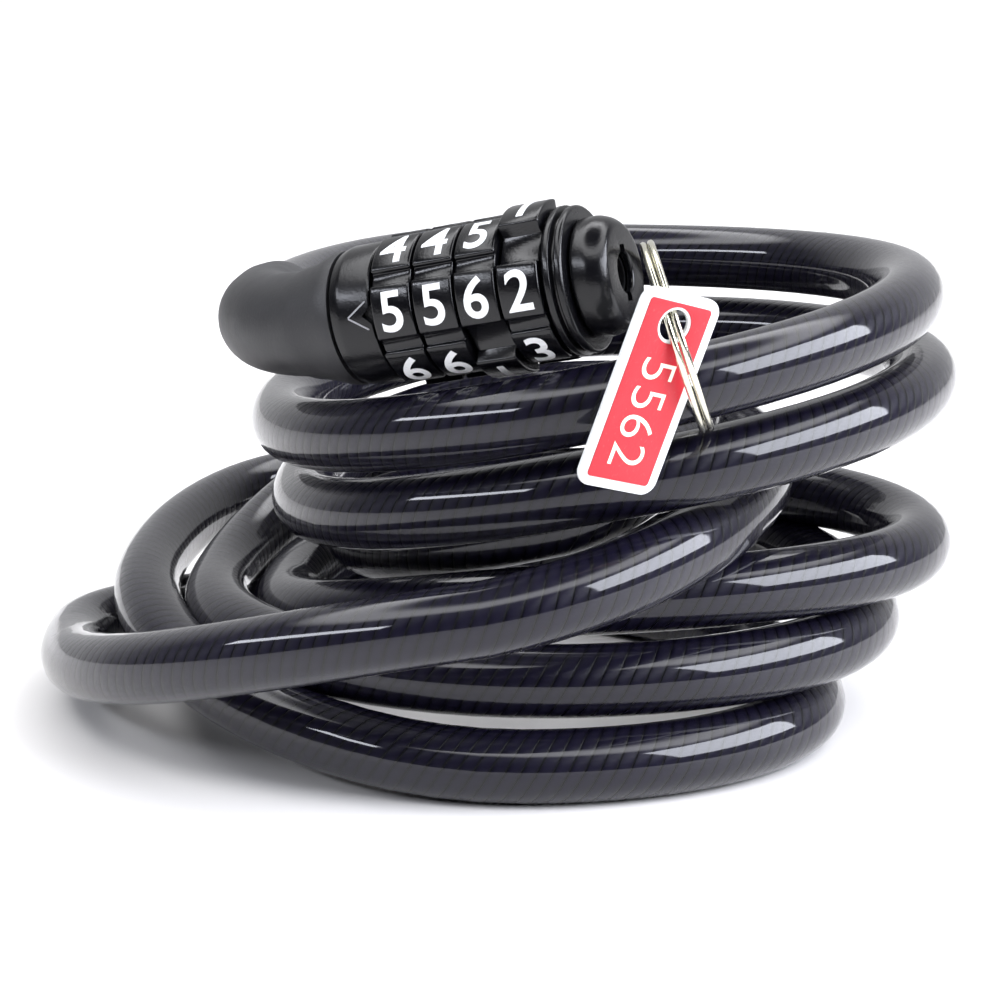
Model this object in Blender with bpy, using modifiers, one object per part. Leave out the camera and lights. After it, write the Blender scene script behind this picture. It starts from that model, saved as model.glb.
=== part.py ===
"""Four-wheel combination cable lock, open, with its head resting on its own coiled cable.

The part is modelled in metres, +Z up, with its origin on the ground under the middle of its box.
Lengths below are written in millimetres and turned into metres by mm().
"""
import math

import bmesh
import bpy
from mathutils import Matrix, Vector

OBJECT_NAME = "cable_lock"
SHIFT = Vector((1.653, -6.016, -0.1))  # sets the middle of the object's box over the origin
GAP = 0.3                         # clearance between touching pieces
EDGE = 0.3                        # small chamfers

# Cable
CABLE_R = 5.0                     # jacket outer radius
ROPE_R = 3.1                      # bare wire rope under the jacket
CABLE_SIDES = 2                   # bevel resolution of the cable's tube
STEPS_IN_BOOT = 9
STEPS_TO_RING = 11
STEPS_AFTER_RING = 64
STEPS_TO_PLUG = 3

# Lock head, along its own axis: s = 0 is the middle of the wheel block, + towards the mouth
HEAD_CENTRE = Vector((-2.0, -39.5, 67.1))
HEAD_YAW = math.radians(-22.0)    # the mouth end comes forward
HEAD_TILT = math.radians(12.3)    # and up
READING_TURN = math.radians(-5.0)  # the reading row faces a little above level
WHEEL_COUNT = 4
WHEEL_PITCH = 6.0
WHEEL_W = WHEEL_PITCH - GAP
WHEELS_START = -0.5 * WHEEL_COUNT * WHEEL_PITCH
PAD_R = 10.0                      # digit pads
FIRST_PAD_R = 10.9                # the pad that carries the first digit stands proud
GROOVE_R = 9.4                    # narrow grooves between pads
RECESS_R = 8.8                    # wide recesses beside the first pad
WHEEL_BORE_R = 7.0
DETENT_R = 7.35                   # floor of the detent notches in the bore
DETENT_COUNT = 20
PAD_HALF = 21.5                   # half of a pad's angle, degrees
DIGIT_STEP = 54.0                 # angle between neighbouring digits
FIRST_STEP = 72.0                 # angle from the first digit to its neighbours
CODE = (5, 5, 6, 2)

# Pin, fins and the slotted parts they pass
PIN_R = 1.95
FIN_R = 3.5
FIN_W = 1.1
FIN_L = 1.5
KEYWAY_R = 3.65
KEYWAY_W = 1.6
TUBE_IN_R = 2.25
TUBE_OUT_R = 2.7
DISC_BORE_R = 3.0
DISC_R = 6.7
DISC_NOTCH_R = 3.85
DISC_NOTCH_W = 1.9
HUB_SPAN = (0.2, 3.3)             # fixed hub, measured from the wheel's left face
GATE_SPAN = (3.7, 5.5)            # gate ring
BALL_R = 0.8
BALL_AT = 6.0                     # distance of the ball's centre from the axis
POCKET_R = 1.1
POCKET_FLOOR = 4.0
BALL_TRAVEL = 0.35
SPRING_R = 0.6
SPRING_WIRE_R = 0.12
SPRING_TURNS = 2
STEPS_PER_COIL = 8
SPRING_LIFT = 0.35                # from the pocket's floor to the middle of the spring's wire
SPRING_CLEAR = 0.15               # from the spring's wire to the ball at the end of its travel

# Fixed parts of the head
SLEEVE_SPAN = (-18.5, -12.3)
SLEEVE_R = 9.4
SLEEVE_BORE_R = 5.4
COLLAR_SPAN = (12.3, 15.0)
COLLAR_R = 9.8
COLLAR_GROOVE_R = 8.9
COLLAR_RIM_R = 9.6
NOSE_SPAN = (15.3, 20.0)
NOSE_R = 7.8
NOSE_FACE_R = 6.4
NOSE_STEP_AT = 19.1               # the mouth narrows to the tube's bore from here
HEAD_BORE_R = 3.0                 # bore of the collar and the nose round the tube
CLIP_RECESS_R = 5.0
CLIP_RECESS_AT = 13.8
CLIP_AT = 14.5
CLIP_T = 0.6
CLIP_RADII = (4.7, 3.0)
CLIP_GAP = math.radians(35)       # half of the clip's opening
TUBE_SPAN = (-13.0, 18.8)
TUBE_FLANGE_R = 5.1
TUBE_FLANGE_T = 0.6
TUBE_SLOT_SPAN = (-10.7, 20.3)
FERRULE_SPAN = (-20.0, -13.3)
ROPE_END_SPAN = (-20.0, -13.5)
FERRULE_R = 5.0
FERRULE_BORE_R = 3.4
CROSS_PIN_AT = -16.0
CROSS_PIN_R = 0.75
CROSS_PIN_HALF = 9.0
JACKET_START = -20.4
BEND_START = -20.9                # the cable runs straight up to here
BOOT_START = -18.8
BOOT_R = (7.4, 7.2, 6.6)          # beside the sleeve, along the bend, at the cable end
BOOT_BORE_R = 5.3

# Plug at the far end of the cable, along its own axis from the cable's end
PLUG_DIRECTION = Vector((0.97, 0.24, 0.0)).normalized()
PLUG_BOOT_SPAN = (-6.0, 11.0)
PLUG_BOOT_R = 6.6
PLUG_BOOT_TIP_R = 5.9
PLUG_FERRULE_SPAN = (0.4, 10.6)
PLUG_ROPE_SPAN = (0.5, 10.4)
PLUG_COLLAR_SPAN = (11.3, 15.0)
PLUG_COLLAR_R = 6.3
PIN_SPAN = (15.3, 46.8)
PIN_HEAD_R = 5.6
PIN_HEAD_T = 1.2
PIN_TIP_R = 1.2
FIRST_FIN_AT = 45.55

# Split ring and tag
RING_MEAN_R = 12.4
RING_WIRE_R = 0.45
RING_TURNS = 1.9
RING_TURN_GAP = 0.12              # between the ring's two turns
RING_CENTRE = Vector((22.6, -48.6, 63.3))
RING_NORMAL = Vector((-0.953, 0.015, -0.302)).normalized()
RING_STRAND_POINT = Vector((24.6, -48.3, 57.4))  # where the strand passes through the ring
TAG_AT = math.radians(18.0)       # place of the tag on the ring, up from the ring's front
TAG_YAW = math.radians(28.0)      # its left edge comes forward
TAG_LEAN = math.radians(10.0)     # its top edge comes forward
TAG_TILT = math.radians(-16.4)    # its lower end swings to the left
TAG_L = 26.3
TAG_W = 12.0
TAG_T = 0.6
TAG_CORNER_R = 2.0
TAG_HOLE_R = 2.0
TAG_HOLE_DOWN = 4.2               # hole's centre below the tag's top edge
LABEL_INSET = 1.3
LABEL_T = 0.15
LABEL_GAP = 0.08
LABEL_HOLE_GAP = 0.4              # the label stops this far short of the hole

# Quarter-turn stations of the coil, in order from the head: the side where the cable turns
# (L left, B back, R right, F front), the place of its middle line, and the rise per quarter
# turn there, or None for an even blend with its neighbours.
STATIONS = (
    ("L", -33.0, -14.0, 60.2, None), ("B", 8.0, 46.0, 60.0, None),
    ("R", 59.5, 0.0, 62.3, 1.0), ("F", 12.0, -50.0, 54.9, -14.0),
    ("L", -32.0, 2.0, 43.0, -1.0), ("B", 14.0, 46.0, 47.8, None),
    ("R", 62.0, 0.0, 50.2, 1.0), ("F", 14.0, -47.0, 43.6, -13.0),
    ("L", -29.0, 0.0, 31.5, -1.0), ("B", 2.0, 36.0, 38.0, None),
    ("R", 28.0, 1.0, 42.5, None), ("F", 8.0, -32.0, 34.8, None),
    ("L", -22.0, 12.0, 23.0, None), ("B", 14.0, 36.0, 24.5, None),
    ("R", 62.0, -3.0, 25.2, None), ("F", 12.0, -37.5, 25.2, -4.0),
    ("L", -31.5, -2.0, 15.6, None), ("B", 12.0, 52.0, 15.5, None),
    ("R", 54.0, -8.0, 15.4, None), ("F", 6.0, -43.5, 15.4, None),
    ("L", -42.5, 0.0, 15.8, None), ("B", 0.0, 50.0, 33.0, None),
    ("R", 38.0, -4.0, 37.8, -1.0), ("F", -2.0, -60.0, 29.0, -14.0),
    ("L", -64.5, 4.0, 7.4, -2.0), ("B", -6.0, 36.0, 5.1, None),
    ("R", 45.0, -18.0, 5.1, None), ("F", 3.0, -48.5, 5.1, None),
    ("L", -54.0, 8.0, 16.4, 6.0), ("B", -28.0, 57.0, 20.0, 0.0),
)
CABLE_END = Vector((12.0, 63.0, 7.0))
PLUG_LEAD = 8.0                   # straight length behind the plug
STEPS_PER_QUARTER = 16


# ---------------------------------------------------------------- helpers

def mm(value):
    """Millimetres to metres, for a number or a vector."""
    return value * 0.001


def make_material(name, colour, roughness, metallic=0.0):
    """A plain Principled material."""
    material = bpy.data.materials.new(name)
    material.use_nodes = True
    shader = material.node_tree.nodes["Principled BSDF"]
    shader.inputs["Base Color"].default_value = (*colour, 1.0)
    shader.inputs["Roughness"].default_value = roughness
    shader.inputs["Metallic"].default_value = metallic
    return material


def add_object(name, data, material, place=None, parent=None, cutter=False):
    """Link an object; place is its matrix inside its parent."""
    obj = bpy.data.objects.new(name, data)
    bpy.data.collections["cutters" if cutter else OBJECT_NAME].objects.link(obj)
    if material is not None:
        data.materials.append(material)
    obj.parent = parent
    obj.matrix_local = place if place is not None else Matrix.Identity(4)
    if cutter:
        obj.hide_render = True
        obj.display_type = "WIRE"
    return obj


def add_axis(name, matrix, parent=None):
    """An empty that carries the pieces that move about it, with its matrix inside its parent."""
    axis = bpy.data.objects.new(name, None)
    bpy.data.collections[OBJECT_NAME].objects.link(axis)
    axis.parent = parent
    axis.matrix_local = matrix
    return axis


def turned(name, profile, material, place=None, parent=None, steps=32, cutter=False, closed=True):
    """Turn a profile of (radius, height) points about local Z with a Screw modifier.

    The points run down the outer side and, where the profile is closed, up the inner side.
    """
    mesh = bpy.data.meshes.new(name)
    points = [(mm(radius), 0.0, mm(height)) for radius, height in profile]
    edges = [(i, i + 1) for i in range(len(points) - 1)]
    if closed:
        edges.append((len(points) - 1, 0))
    mesh.from_pydata(points, edges, [])
    obj = add_object(name, mesh, material, place, parent, cutter)
    screw = obj.modifiers.new("turn", "SCREW")
    screw.axis = "Z"
    screw.steps = steps
    screw.render_steps = steps
    screw.use_merge_vertices = True
    screw.merge_threshold = 0.000001
    screw.use_smooth_shade = True
    return obj


def ring_profile(outer, inner, low, high, chamfer=0.0):
    """Closed profile of a plain ring, with its outer edges chamfered."""
    if chamfer:
        return [(outer - chamfer, high), (outer, high - chamfer), (outer, low + chamfer),
                (outer - chamfer, low), (inner, low), (inner, high)]
    return [(outer, high), (outer, low), (inner, low), (inner, high)]


def rod_profile(radius, low, high, chamfer=0.0):
    """Open profile of a solid rod, from the axis at its top to the axis at its bottom."""
    return [(0.0, high), (radius - chamfer, high), (radius, high - chamfer),
            (radius, low + chamfer), (radius - chamfer, low), (0.0, low)]


def flat_plate(name, loops, thickness, material, place=None, parent=None, cutter=False):
    """A plate cut from flat outlines: the first loop is the edge and the others are holes."""
    curve = bpy.data.curves.new(name, "CURVE")
    curve.dimensions = "2D"
    curve.fill_mode = "BOTH"
    curve.extrude = mm(0.5 * thickness)
    for loop in loops:
        spline = curve.splines.new("POLY")
        spline.points.add(len(loop) - 1)
        for point, (x, y) in zip(spline.points, loop):
            point.co = (mm(x), mm(y), 0.0, 1.0)
        spline.use_cyclic_u = True
    return add_object(name, curve, material, place, parent, cutter)


def tube(name, points, radius, material, resolution=2, radii=None, cutter=False):
    """A round tube along world points in millimetres, with its ends filled."""
    curve = bpy.data.curves.new(name, "CURVE")
    curve.dimensions = "3D"
    curve.bevel_depth = mm(radius)
    curve.bevel_resolution = resolution
    curve.use_fill_caps = True
    spline = curve.splines.new("POLY")
    spline.points.add(len(points) - 1)
    for index, point in enumerate(points):
        spline.points[index].co = (*mm(point + SHIFT), 1.0)
        spline.points[index].radius = radii[index] / radius if radii else 1.0
    return add_object(name, curve, material, cutter=cutter)


def made_mesh(obj):
    """Replace a curve or modified object by its evaluated mesh, with its doubles merged."""
    graph = bpy.context.evaluated_depsgraph_get()
    mesh = bpy.data.meshes.new_from_object(obj.evaluated_get(graph))
    build = bmesh.new()
    build.from_mesh(mesh)
    bmesh.ops.remove_doubles(build, verts=build.verts, dist=0.000001)
    bmesh.ops.recalc_face_normals(build, faces=build.faces)
    build.to_mesh(mesh)
    build.free()
    name, place, parent = obj.name, obj.matrix_local.copy(), obj.parent
    cutter = obj.hide_render
    bpy.data.objects.remove(obj)
    result = add_object(name, mesh, None, place, parent, cutter)
    result.name = name
    return result


def cut(obj, *cutters):
    """Subtract cutters from an object with exact Boolean modifiers."""
    for cutter in cutters:
        modifier = obj.modifiers.new("cut", "BOOLEAN")
        modifier.operation = "DIFFERENCE"
        modifier.solver = "EXACT"
        modifier.object = cutter
    return obj


def join(obj, *others):
    """Unite other solids with an object."""
    for other in others:
        modifier = obj.modifiers.new("join", "BOOLEAN")
        modifier.operation = "UNION"
        modifier.solver = "EXACT"
        modifier.object = other
    return obj


def box_cutter(name, size, centre, parent):
    """A box that cuts, with its size and centre in the parent's frame."""
    mesh = bpy.data.meshes.new(name)
    build = bmesh.new()
    bmesh.ops.create_cube(build, size=1.0)
    bmesh.ops.scale(build, vec=Vector([mm(side) for side in size]), verts=build.verts)
    build.to_mesh(mesh)
    build.free()
    return add_object(name, mesh, None, Matrix.Translation(mm(Vector(centre))), parent, cutter=True)


def circle(radius, count, start=0.0):
    """Points of a circle."""
    return [(radius * math.cos(start + 2.0 * math.pi * i / count),
             radius * math.sin(start + 2.0 * math.pi * i / count)) for i in range(count)]


# ---------------------------------------------------------------- the cable's route

def even_slope(heights, index):
    """Rise per quarter turn that neither overshoots nor dips between stations."""
    if index in (0, len(heights) - 1):
        return 0.0
    before = heights[index] - heights[index - 1]
    after = heights[index + 1] - heights[index]
    return 0.0 if before * after <= 0.0 else 2.0 * before * after / (before + after)


def hermite(start, start_pull, end, end_pull, t):
    """Point of a cubic between two places with the pulls given."""
    return (start * (2 * t**3 - 3 * t**2 + 1) + start_pull * (t**3 - 2 * t**2 + t)
            + end * (3 * t**2 - 2 * t**3) + end_pull * (t**3 - t**2))


def head_matrix():
    """The lock head's own frame: Z along its axis towards the mouth, X out through the reading row."""
    axis = Vector((math.cos(HEAD_TILT) * math.cos(HEAD_YAW),
                   math.cos(HEAD_TILT) * math.sin(HEAD_YAW), math.sin(HEAD_TILT)))
    level = Vector((math.sin(HEAD_YAW), -math.cos(HEAD_YAW), 0.0))
    out = Matrix.Rotation(READING_TURN, 3, axis) @ level
    frame = Matrix((out, axis.cross(out), axis)).transposed().to_4x4()
    return Matrix.Translation(mm(HEAD_CENTRE + SHIFT)) @ frame


def head_point(s):
    """Point on the head's axis, in millimetres and before SHIFT."""
    axis = Vector((math.cos(HEAD_TILT) * math.cos(HEAD_YAW),
                   math.cos(HEAD_TILT) * math.sin(HEAD_YAW), math.sin(HEAD_TILT)))
    return HEAD_CENTRE + axis * s


def cable_route():
    """The cable's middle line: out of the head, round the quarter-turn stations, to the plug."""
    start = head_point(BEND_START)
    first = Vector(STATIONS[0][1:4])
    reach = (first - start).length
    away = (start - HEAD_CENTRE).normalized()
    points = [hermite(start, away * reach, first, Vector((0.0, reach, 0.0)), i / STEPS_PER_QUARTER)
              for i in range(STEPS_PER_QUARTER)]
    heights = [station[3] for station in STATIONS]
    slopes = [even_slope(heights, i) if station[4] is None else station[4]
              for i, station in enumerate(STATIONS)]
    for i in range(len(STATIONS) - 1):
        side, x0, y0, z0, _ = STATIONS[i]
        _, x1, y1, z1, _ = STATIONS[i + 1]
        for j in range(STEPS_PER_QUARTER):
            t = j / STEPS_PER_QUARTER
            near, far = math.cos(0.5 * math.pi * t), math.sin(0.5 * math.pi * t)
            if side in "LR":
                x, y = x1 + (x0 - x1) * near, y0 + (y1 - y0) * far
            else:
                x, y = x0 + (x1 - x0) * far, y1 + (y0 - y1) * near
            points.append(Vector((x, y, hermite(z0, slopes[i], z1, slopes[i + 1], t))))
    last = Vector(STATIONS[-1][1:4])
    end = CABLE_END - PLUG_DIRECTION * PLUG_LEAD
    reach = (end - last).length
    for i in range(STEPS_PER_QUARTER + 1):
        points.append(hermite(last, Vector((reach, 0.0, 0.0)), end, PLUG_DIRECTION * reach,
                              i / STEPS_PER_QUARTER))
    return points


def evenly_spaced(points, count):
    """Count + 1 points at equal distances along a polyline."""
    lengths = [0.0]
    for before, after in zip(points, points[1:]):
        lengths.append(lengths[-1] + (after - before).length)
    result, index = [], 0
    for i in range(count + 1):
        wanted = lengths[-1] * i / count
        while index < len(points) - 2 and lengths[index + 1] < wanted:
            index += 1
        part = (wanted - lengths[index]) / (lengths[index + 1] - lengths[index])
        result.append(points[index].lerp(points[index + 1], part))
    return result


def nearest(points, place):
    """Index of the point nearest a place."""
    return min(range(len(points)), key=lambda i: (points[i] - place).length)


# ---------------------------------------------------------------- the head

def digit_angle(digit):
    """Angle of a digit's middle from the first digit's, in degrees."""
    return 0.0 if digit == 1 else FIRST_STEP + DIGIT_STEP * (digit - 2)


def wheel_outline():
    """Outer edge of a number wheel: six pads, narrow grooves, and recesses beside the first pad."""
    points = []
    for digit in range(1, 7):
        middle = digit_angle(digit)
        radius = FIRST_PAD_R if digit == 1 else PAD_R
        before = RECESS_R if digit in (1, 2) else GROOVE_R
        after = RECESS_R if digit in (6, 1) else GROOVE_R
        angles = [middle - PAD_HALF + PAD_HALF * 0.5 * i for i in range(5)]
        points.append((before, angles[0]))
        points += [(radius, angle) for angle in angles]
        points.append((after, angles[-1]))
    return [(r * math.cos(math.radians(a)), r * math.sin(math.radians(a))) for r, a in points]


def wheel_bore():
    """Bore of a number wheel, with a shallow detent notch for every small step."""
    points = []
    step = 360.0 / DETENT_COUNT
    for i in range(DETENT_COUNT):
        for radius, offset in ((DETENT_R, 0.0), (WHEEL_BORE_R, 0.3 * step), (WHEEL_BORE_R, 0.7 * step)):
            angle = math.radians(step * i + offset)
            points.append((radius * math.cos(angle), radius * math.sin(angle)))
    return points


def slotted_bore():
    """Round bore with a keyway above and below for the fins."""
    half = 0.5 * DISC_NOTCH_W
    shoulder = math.atan2(math.sqrt(DISC_BORE_R**2 - half**2), half)
    arc = [shoulder - (2.0 * shoulder) * i / 6 for i in range(7)]
    right = [(DISC_BORE_R * math.cos(a), DISC_BORE_R * math.sin(a)) for a in arc]
    left = [(-x, -y) for x, y in right]
    return [(half, DISC_NOTCH_R)] + right + [(half, -DISC_NOTCH_R), (-half, -DISC_NOTCH_R)] \
        + left + [(-half, DISC_NOTCH_R)]


def build_wheels(head, materials):
    """Number wheels with their gate rings, and the fixed hubs with their ball detents."""
    for index in range(WHEEL_COUNT):
        number = index + 1
        left = WHEELS_START + WHEEL_PITCH * index
        turn = math.radians(-digit_angle(CODE[index]))
        middle = Matrix.Translation((0, 0, mm(left + 0.5 * WHEEL_PITCH)))
        axle = add_axis(f"wheel_axis_{number}", middle @ Matrix.Rotation(turn, 4, "Z"), head)
        flat_plate(f"number_wheel_{number}", [wheel_outline(), wheel_bore()], WHEEL_W,
                   materials["wheel"], parent=axle)
        aside = mm(0.5 * sum(GATE_SPAN) - 0.5 * WHEEL_PITCH)
        gate_place = Matrix.Rotation(-turn, 4, "Z") @ Matrix.Translation((0, 0, aside))
        flat_plate(f"gate_ring_{number}", [circle(DISC_R, 32), slotted_bore()],
                   GATE_SPAN[1] - GATE_SPAN[0], materials["brass"], gate_place, axle)
        build_hub(number, left, head, materials)


def build_hub(number, left, head, materials):
    """The fixed hub inside a wheel, with the ball and spring that click into the wheel's bore."""
    middle = left + 0.5 * sum(HUB_SPAN)
    place = Matrix.Translation((0, 0, mm(middle)))
    hub = made_mesh(flat_plate(f"wheel_hub_{number}", [circle(DISC_R, 32), slotted_bore()],
                               HUB_SPAN[1] - HUB_SPAN[0], None, place, head))
    hub.data.materials.append(materials["zinc"])
    out = Matrix.Translation((0, 0, mm(middle))) @ Matrix.Rotation(math.radians(-90), 4, "Y")
    pocket = turned(f"pocket_{number}", rod_profile(POCKET_R, POCKET_FLOOR, DISC_R + 1.0), None, out,
                    head, 12, cutter=True, closed=False)
    cut(hub, pocket)
    turned(f"detent_ball_{number}", [(BALL_R * math.sin(math.radians(a)),
                                      BALL_R * math.cos(math.radians(a))) for a in range(0, 181, 30)],
           materials["steel"], out @ Matrix.Translation((0, 0, mm(BALL_AT))), head, 10, closed=False)
    build_spring(f"detent_spring_{number}", out, head, materials["steel"])


def build_spring(name, place, parent, material):
    """The small coil spring between a pocket's floor and its ball, along local Z."""
    curve = bpy.data.curves.new(name, "CURVE")
    curve.dimensions = "3D"
    curve.bevel_depth = mm(SPRING_WIRE_R)
    curve.bevel_resolution = 0
    curve.use_fill_caps = True
    spline = curve.splines.new("POLY")
    low = POCKET_FLOOR + SPRING_LIFT
    high = BALL_AT - BALL_R - BALL_TRAVEL - SPRING_CLEAR
    count = STEPS_PER_COIL * SPRING_TURNS
    spline.points.add(count)
    for i in range(count + 1):
        angle = 2.0 * math.pi * i / STEPS_PER_COIL
        height = low + (high - low) * i / count
        spline.points[i].co = (mm(SPRING_R * math.cos(angle)), mm(SPRING_R * math.sin(angle)),
                               mm(height), 1.0)
    add_object(name, curve, material, place, parent)


def build_fixed_head(head, materials):
    """Sleeve, slotted core tube, collar, clip and nose, and the cable's anchorage."""
    low, high = SLEEVE_SPAN
    across = Matrix.Translation((0, 0, mm(CROSS_PIN_AT))) @ Matrix.Rotation(math.radians(90), 4, "X")
    hole_half = CROSS_PIN_HALF + 3.0
    pin_hole = turned("cross_pin_hole", rod_profile(CROSS_PIN_R + GAP, -hole_half, hole_half), None,
                      across, head, 12, cutter=True, closed=False)
    cut(turned("index_sleeve", ring_profile(SLEEVE_R, SLEEVE_BORE_R, low, high, 0.4),
               materials["shell"], parent=head), pin_hole)
    cut(turned("cable_ferrule", ring_profile(FERRULE_R, FERRULE_BORE_R, *FERRULE_SPAN, EDGE),
               materials["steel"], parent=head, steps=24), pin_hole)
    cut(turned("wire_rope_end", rod_profile(ROPE_R, *ROPE_END_SPAN, EDGE), materials["rope"],
               parent=head, steps=16, closed=False), pin_hole)
    turned("cross_pin", rod_profile(CROSS_PIN_R, -CROSS_PIN_HALF, CROSS_PIN_HALF, 0.5 * EDGE),
           materials["steel"], across, head, 10, closed=False)

    low, high = TUBE_SLOT_SPAN
    slot = box_cutter("core_slot", (KEYWAY_W, 2.0 * KEYWAY_R, high - low), (0, 0, 0.5 * (low + high)),
                      head)
    low, high = TUBE_SPAN
    tube_profile = [(TUBE_OUT_R, high), (TUBE_OUT_R, low + TUBE_FLANGE_T),
                    (TUBE_FLANGE_R, low + TUBE_FLANGE_T), (TUBE_FLANGE_R, low), (TUBE_IN_R, low),
                    (TUBE_IN_R, high)]
    cut(turned("core_tube", tube_profile, materials["steel"], parent=head, steps=24), slot)

    low, high = COLLAR_SPAN
    collar_profile = [(COLLAR_RIM_R - EDGE, high), (COLLAR_RIM_R, high - EDGE), (COLLAR_RIM_R, 14.1),
                      (COLLAR_GROOVE_R, 13.9), (COLLAR_GROOVE_R, 13.5), (COLLAR_R, 13.3),
                      (COLLAR_R, low + EDGE), (COLLAR_R - EDGE, low), (HEAD_BORE_R, low),
                      (HEAD_BORE_R, CLIP_RECESS_AT), (CLIP_RECESS_R, CLIP_RECESS_AT),
                      (CLIP_RECESS_R, high)]
    turned("end_collar", collar_profile, materials["shell"], parent=head)
    sweep = [CLIP_GAP + (2.0 * math.pi - 2.0 * CLIP_GAP) * i / 20 for i in range(21)]
    outer, inner = CLIP_RADII
    clip = [(outer * math.cos(a), outer * math.sin(a)) for a in sweep] \
        + [(inner * math.cos(a), inner * math.sin(a)) for a in reversed(sweep)]
    flat_plate("retaining_clip", [clip], CLIP_T, materials["steel"],
               Matrix.Translation((0, 0, mm(CLIP_AT))), head)

    low, high = NOSE_SPAN
    nose_profile = [(NOSE_FACE_R, high), (NOSE_FACE_R + 0.9, high - 0.6), (NOSE_R, high - 2.0),
                    (NOSE_R, low), (HEAD_BORE_R, low), (HEAD_BORE_R, NOSE_STEP_AT),
                    (TUBE_IN_R, NOSE_STEP_AT), (TUBE_IN_R, high)]
    keyway = box_cutter("mouth_keyway", (KEYWAY_W, 2.0 * KEYWAY_R, 6.0), (0, 0, high - 1.0), head)
    cut(turned("nose_cap", nose_profile, materials["shell"], parent=head), keyway)


def first_bend(route):
    """Points shared by the boot and the cable inside it, round the bend beside the head."""
    return evenly_spaced(route[:nearest(route, Vector(STATIONS[0][1:4])) + 3], STEPS_IN_BOOT)


def build_head_boot(route, materials):
    """The soft boot that carries the cable out of the head and round its first bend."""
    path = [head_point(BOOT_START)] + first_bend(route)
    swell = [BOOT_R[0]] * 3 + [BOOT_R[1] + (BOOT_R[2] - BOOT_R[1]) * i / (len(path) - 4)
                               for i in range(len(path) - 3)]
    boot = tube("head_boot", path, BOOT_R[0], materials["boot"], 4, swell)
    boot = made_mesh(boot)
    before = path[0] + (path[0] - path[1]).normalized() * 2.0
    after = path[-1] + (path[-1] - path[-2]).normalized() * 2.0
    bore = made_mesh(tube("boot_bore", [before] + path + [after], BOOT_BORE_R, None, 4, cutter=True))
    cut(boot, bore)


# ---------------------------------------------------------------- cable and plug

def build_cable(route, materials):
    """The jacketed cable, as one tube along its whole coil."""
    after_boot = nearest(route, Vector(STATIONS[0][1:4])) + 2
    at_ring = nearest(route, RING_STRAND_POINT)
    points = [head_point(JACKET_START)] + first_bend(route)
    points += evenly_spaced(route[after_boot:at_ring + 1], STEPS_TO_RING)[1:]
    last_turn = nearest(route, Vector(STATIONS[-1][1:4]))
    points += evenly_spaced(route[at_ring:last_turn + 1], STEPS_AFTER_RING)[1:]
    points += evenly_spaced(route[last_turn:], STEPS_TO_PLUG)[1:]
    points.append(CABLE_END)
    tube("cable", points, CABLE_R, materials["jacket"], CABLE_SIDES)


def build_plug(materials):
    """The plug on the cable's far end: boot, ferrule, collar, and the pin with its fins."""
    up = Vector((0.0, 0.0, 1.0))
    frame = Matrix((up.cross(PLUG_DIRECTION), up, PLUG_DIRECTION)).transposed()
    plug = add_axis("plug_axis", Matrix.Translation(mm(CABLE_END + SHIFT)) @ frame.to_4x4())

    low, high = PLUG_BOOT_SPAN
    boot_profile = [(PLUG_BOOT_R - 0.6, high), (PLUG_BOOT_R, high - 0.6), (PLUG_BOOT_R, 3.0),
                    (PLUG_BOOT_TIP_R, low), (BOOT_BORE_R, low), (BOOT_BORE_R, high)]
    turned("plug_boot", boot_profile, materials["boot"], parent=plug)
    turned("plug_ferrule", ring_profile(FERRULE_R, FERRULE_BORE_R, *PLUG_FERRULE_SPAN, EDGE),
           materials["steel"], parent=plug, steps=24)
    turned("plug_rope_end", rod_profile(ROPE_R, *PLUG_ROPE_SPAN, EDGE), materials["rope"], parent=plug,
           steps=16, closed=False)
    turned("plug_collar", rod_profile(PLUG_COLLAR_R, *PLUG_COLLAR_SPAN, 0.5), materials["shell"],
           parent=plug, closed=False)
    low, high = PIN_SPAN
    pin = turned("lock_pin", [(0.0, high), (PIN_TIP_R, high), (PIN_R, high - 0.8),
                              (PIN_R, low + PIN_HEAD_T), (PIN_HEAD_R, low + PIN_HEAD_T),
                              (PIN_HEAD_R, low), (0.0, low)],
                 materials["steel"], parent=plug, steps=20, closed=False)
    fins = []
    for index in range(WHEEL_COUNT):
        reach = FIRST_FIN_AT - WHEEL_PITCH * index
        fins.append(box_cutter(f"fin_{index + 1}", (FIN_W, 2.0 * FIN_R, FIN_L), (0, 0, reach), plug))
    join(pin, *fins)


# ---------------------------------------------------------------- split ring and tag

def ring_frame():
    """The ring's own frame: X to its front, Y up, Z along its normal."""
    up = (Vector((0.0, 0.0, 1.0)) - RING_NORMAL * RING_NORMAL.z).normalized()
    return Matrix((up.cross(RING_NORMAL), up, RING_NORMAL)).transposed()


def tag_frame():
    """The tag's own frame: X to its right, Y to its top edge, Z out of its printed face."""
    face = Vector((math.sin(TAG_YAW) * math.cos(TAG_LEAN), -math.cos(TAG_YAW) * math.cos(TAG_LEAN),
                   -math.sin(TAG_LEAN)))
    steepest = (Vector((0.0, 0.0, 1.0)) - face * face.z).normalized()
    upright = Matrix((steepest.cross(face), steepest, face)).transposed()
    return upright @ Matrix.Rotation(TAG_TILT, 3, "Z")


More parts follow.
